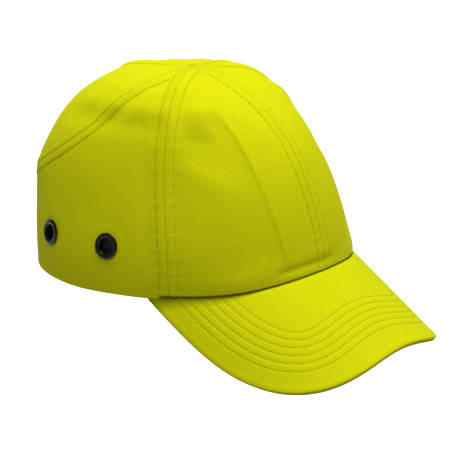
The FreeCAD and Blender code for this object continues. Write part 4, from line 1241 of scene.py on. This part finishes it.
def build_strap():
    along, across = np.linspace(0, 1, 420), np.linspace(0, 1, 41)
    turn0, turn1 = (math.asin(x / STRAP_R) for x in STRAP_X)
    turn = turn0 + (turn1 - turn0) * along
    x = STRAP_R * np.sin(turn)
    length = (turn - turn0) * STRAP_R
    from_end = np.minimum(length, length[-1] - length)
    inset = STRAP_CORNER - np.sqrt(STRAP_CORNER ** 2 - np.maximum(STRAP_CORNER - from_end, 0) ** 2)
    low, high = STRAP_Z[0] + inset, STRAP_Z[1] - inset
    z = low[None] + (high - low)[None] * across[:, None]
    xx = np.repeat(x[None], len(across), 0)
    edge_gap = np.minimum(z - STRAP_Z[0], STRAP_Z[1] - z) / MM
    weave = 0.12 * MM * bell(edge_gap, STRAP_ROW / MM, 0.5)
    swell = 0.15 * MM * smooth(edge_gap / 1.2)
    outer = strap_place(xx, z, 0.15 * MM + weave - swell)
    inner = strap_place(xx, z, STRAP - 0.15 * MM - weave + swell)
    obj = slab("rear_strap_cloth", outer, inner, WEBBING, roll=0.35)
    flat = float(length[-1]), STRAP_Z[1] - STRAP_Z[0]
    finish_sheet(obj, "yellow_webbing", "adjuster_strap", flat, "buckle_frame", body="strap")
    arc = np.linspace(turn0 + 0.03, turn1 - 0.03, 200)
    x, out = STRAP_R * np.sin(arc), np.stack([np.sin(arc), np.cos(arc), 0 * arc], -1)
    lines = [(strap_place(x, np.full(200, z0), depth), out * face)
             for z0 in (STRAP_Z[0] + STRAP_ROW, STRAP_Z[1] - STRAP_ROW)
             for depth, face in ((0.12 * MM, 1), (STRAP - 0.12 * MM, -1))]
    stitches("strap_stitching", lines, "strap", "yellow_webbing", pitch=3 * MM)


def strap_depth(p, q):
    here, out = crown(p, q), normal(p, q)
    radial = (here - (0, STRAP_CENTRE_Y, 0)) * (1, 1, 0)
    size = norm(radial)
    return (size - STRAP_R + STRAP) / (dot(out, radial) / size)


def build_pockets():
    s, t = unit_grid(60, 80)
    sewn = CLOTH + PLY_GAP + (FACING + PLY_GAP) * rise(s, 0.5, 0.25)
    across = POCKET_X[0] + (POCKET_X[1] - POCKET_X[0]) * s
    z = POCKET_Z[0] + (POCKET_Z[1] - POCKET_Z[0]) * t
    p, q = rear_chart(across, z)
    puff = smooth(np.minimum(t, 1 - t) / 0.07) * smooth((1 - s) / 0.25)
    tucked = strap_depth(p, q)
    clear = (tucked + 2 * MM + np.hypot(tucked - 2 * MM, 1 * MM)) / 2
    depth = sewn + (clear + 1.6 * MM - sewn) * puff
    for side, label in ((1, "right"), (-1, "left")):
        obj = sunk_slab("strap_casing_" + label, side * p, q, depth, POCKET, LINING)
        finish_sheet(obj, "yellow_tape", "strap_pocket_" + label, (0.044, 0.030), "adjuster_strap")


LABEL_FROM, LABEL_TO, LABEL_Z, LABEL_FLAT = math.radians(91), math.radians(103), 3 * MM, (0.021, 0.013)


def build_label():
    def chart(s, t):
        psi = -(LABEL_FROM + (LABEL_TO - LABEL_FROM) * s)
        return polar(rho_at(psi, LABEL_Z + LABEL_FLAT[1] * t), psi)
    depth = CLOTH + FACING + 2 * PLY_GAP
    obj = layer("care_label_ribbon", chart, 40, 40, depth, depth + 0.3 * MM, LABEL)
    finish_sheet(obj, "white_label", "care_label", LABEL_FLAT, "hem_facing", held="hung")


# ---------------------------------------------------------------- carried-over frame pieces

def dress_frame():
    finishes = {"eyelet": METAL, "inner_shell": ABS, "buckle_frame": BUCKLE, "buckle_clamp": BUCKLE,
                "buckle_pin": STEEL, "peak_board": BOARD_PLASTIC, "buckle_anchor_tab": WEBBING}
    for name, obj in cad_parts.items():
        for start, material in finishes.items():
            if name.startswith(start):
                obj.data.materials.clear()
                obj.data.materials.append(material)


# ---------------------------------------------------------------- stage

def build_stage():
    paper = Shader("floor_paper")
    noise = paper.on_object("TexNoise", 4.0).outputs[0]
    paper.surface(Base_Color=paper.mix(noise, FLOOR_WHITE, tuple(c * 0.99 for c in FLOOR_WHITE)),
                  Roughness=0.9, Specular_IOR_Level=0.0, Emission_Color=(1, 1, 1),
                  Emission_Strength=FLOOR_GLOW)
    corners = [(x * FLOOR_SIZE, y * FLOOR_SIZE, FLOOR_Z) for x, y in ((-1, -1), (1, -1), (1, 1), (-1, 1))]
    floor = make_object("floor", corners, [(0, 1, 2, 3)], paper.owner)
    floor.visible_diffuse = False
    sky = Shader("studio", bpy.data.worlds.new("studio"))
    split = sky.add("SeparateXYZ", sky.add("TexCoord").outputs["Generated"])
    background = sky.nodes["Background"]
    sky.fill(background.inputs[0], (1, 1, 1))
    sky.link(sky.scaled(split.outputs[2], SKY_RISE, AMBIENT), background.inputs[1])
    bpy.context.scene.world = sky.owner
    bpy.context.scene.view_settings.view_transform = "Standard"


def place_object(name, data, place, back):
    """Light or camera at a place. It looks along the opposite of back."""
    obj = bpy.data.objects.new(name, data)
    obj.location = place
    obj.rotation_mode = "QUATERNION"
    obj.rotation_quaternion = (-back).to_track_quat("-Z", "Y")
    bpy.context.scene.collection.objects.link(obj)
    return obj


def build_light():
    data = bpy.data.lights.new("overhead", "AREA")
    data.shape, data.size, data.energy = "DISK", OVERHEAD_SIZE, OVERHEAD
    place_object("overhead", data, OVERHEAD_AT, OVERHEAD_AT - VIEW_AT)


def build_camera():
    data = bpy.data.cameras.new("camera")
    data.lens, data.sensor_width = LENS, 36.0
    level = math.cos(VIEW_UP)
    back = Vector((-math.sin(VIEW_TURN) * level, -math.cos(VIEW_TURN) * level, math.sin(VIEW_UP)))
    bpy.context.scene.camera = place_object("camera", data, VIEW_AT + back * VIEW_DISTANCE, back)


for build in (build_camera, build_panels, build_seam_stitching, build_peak, build_linings, build_insert,
              build_strap, build_pockets, build_label, dress_frame, build_stage, build_light):
    build()
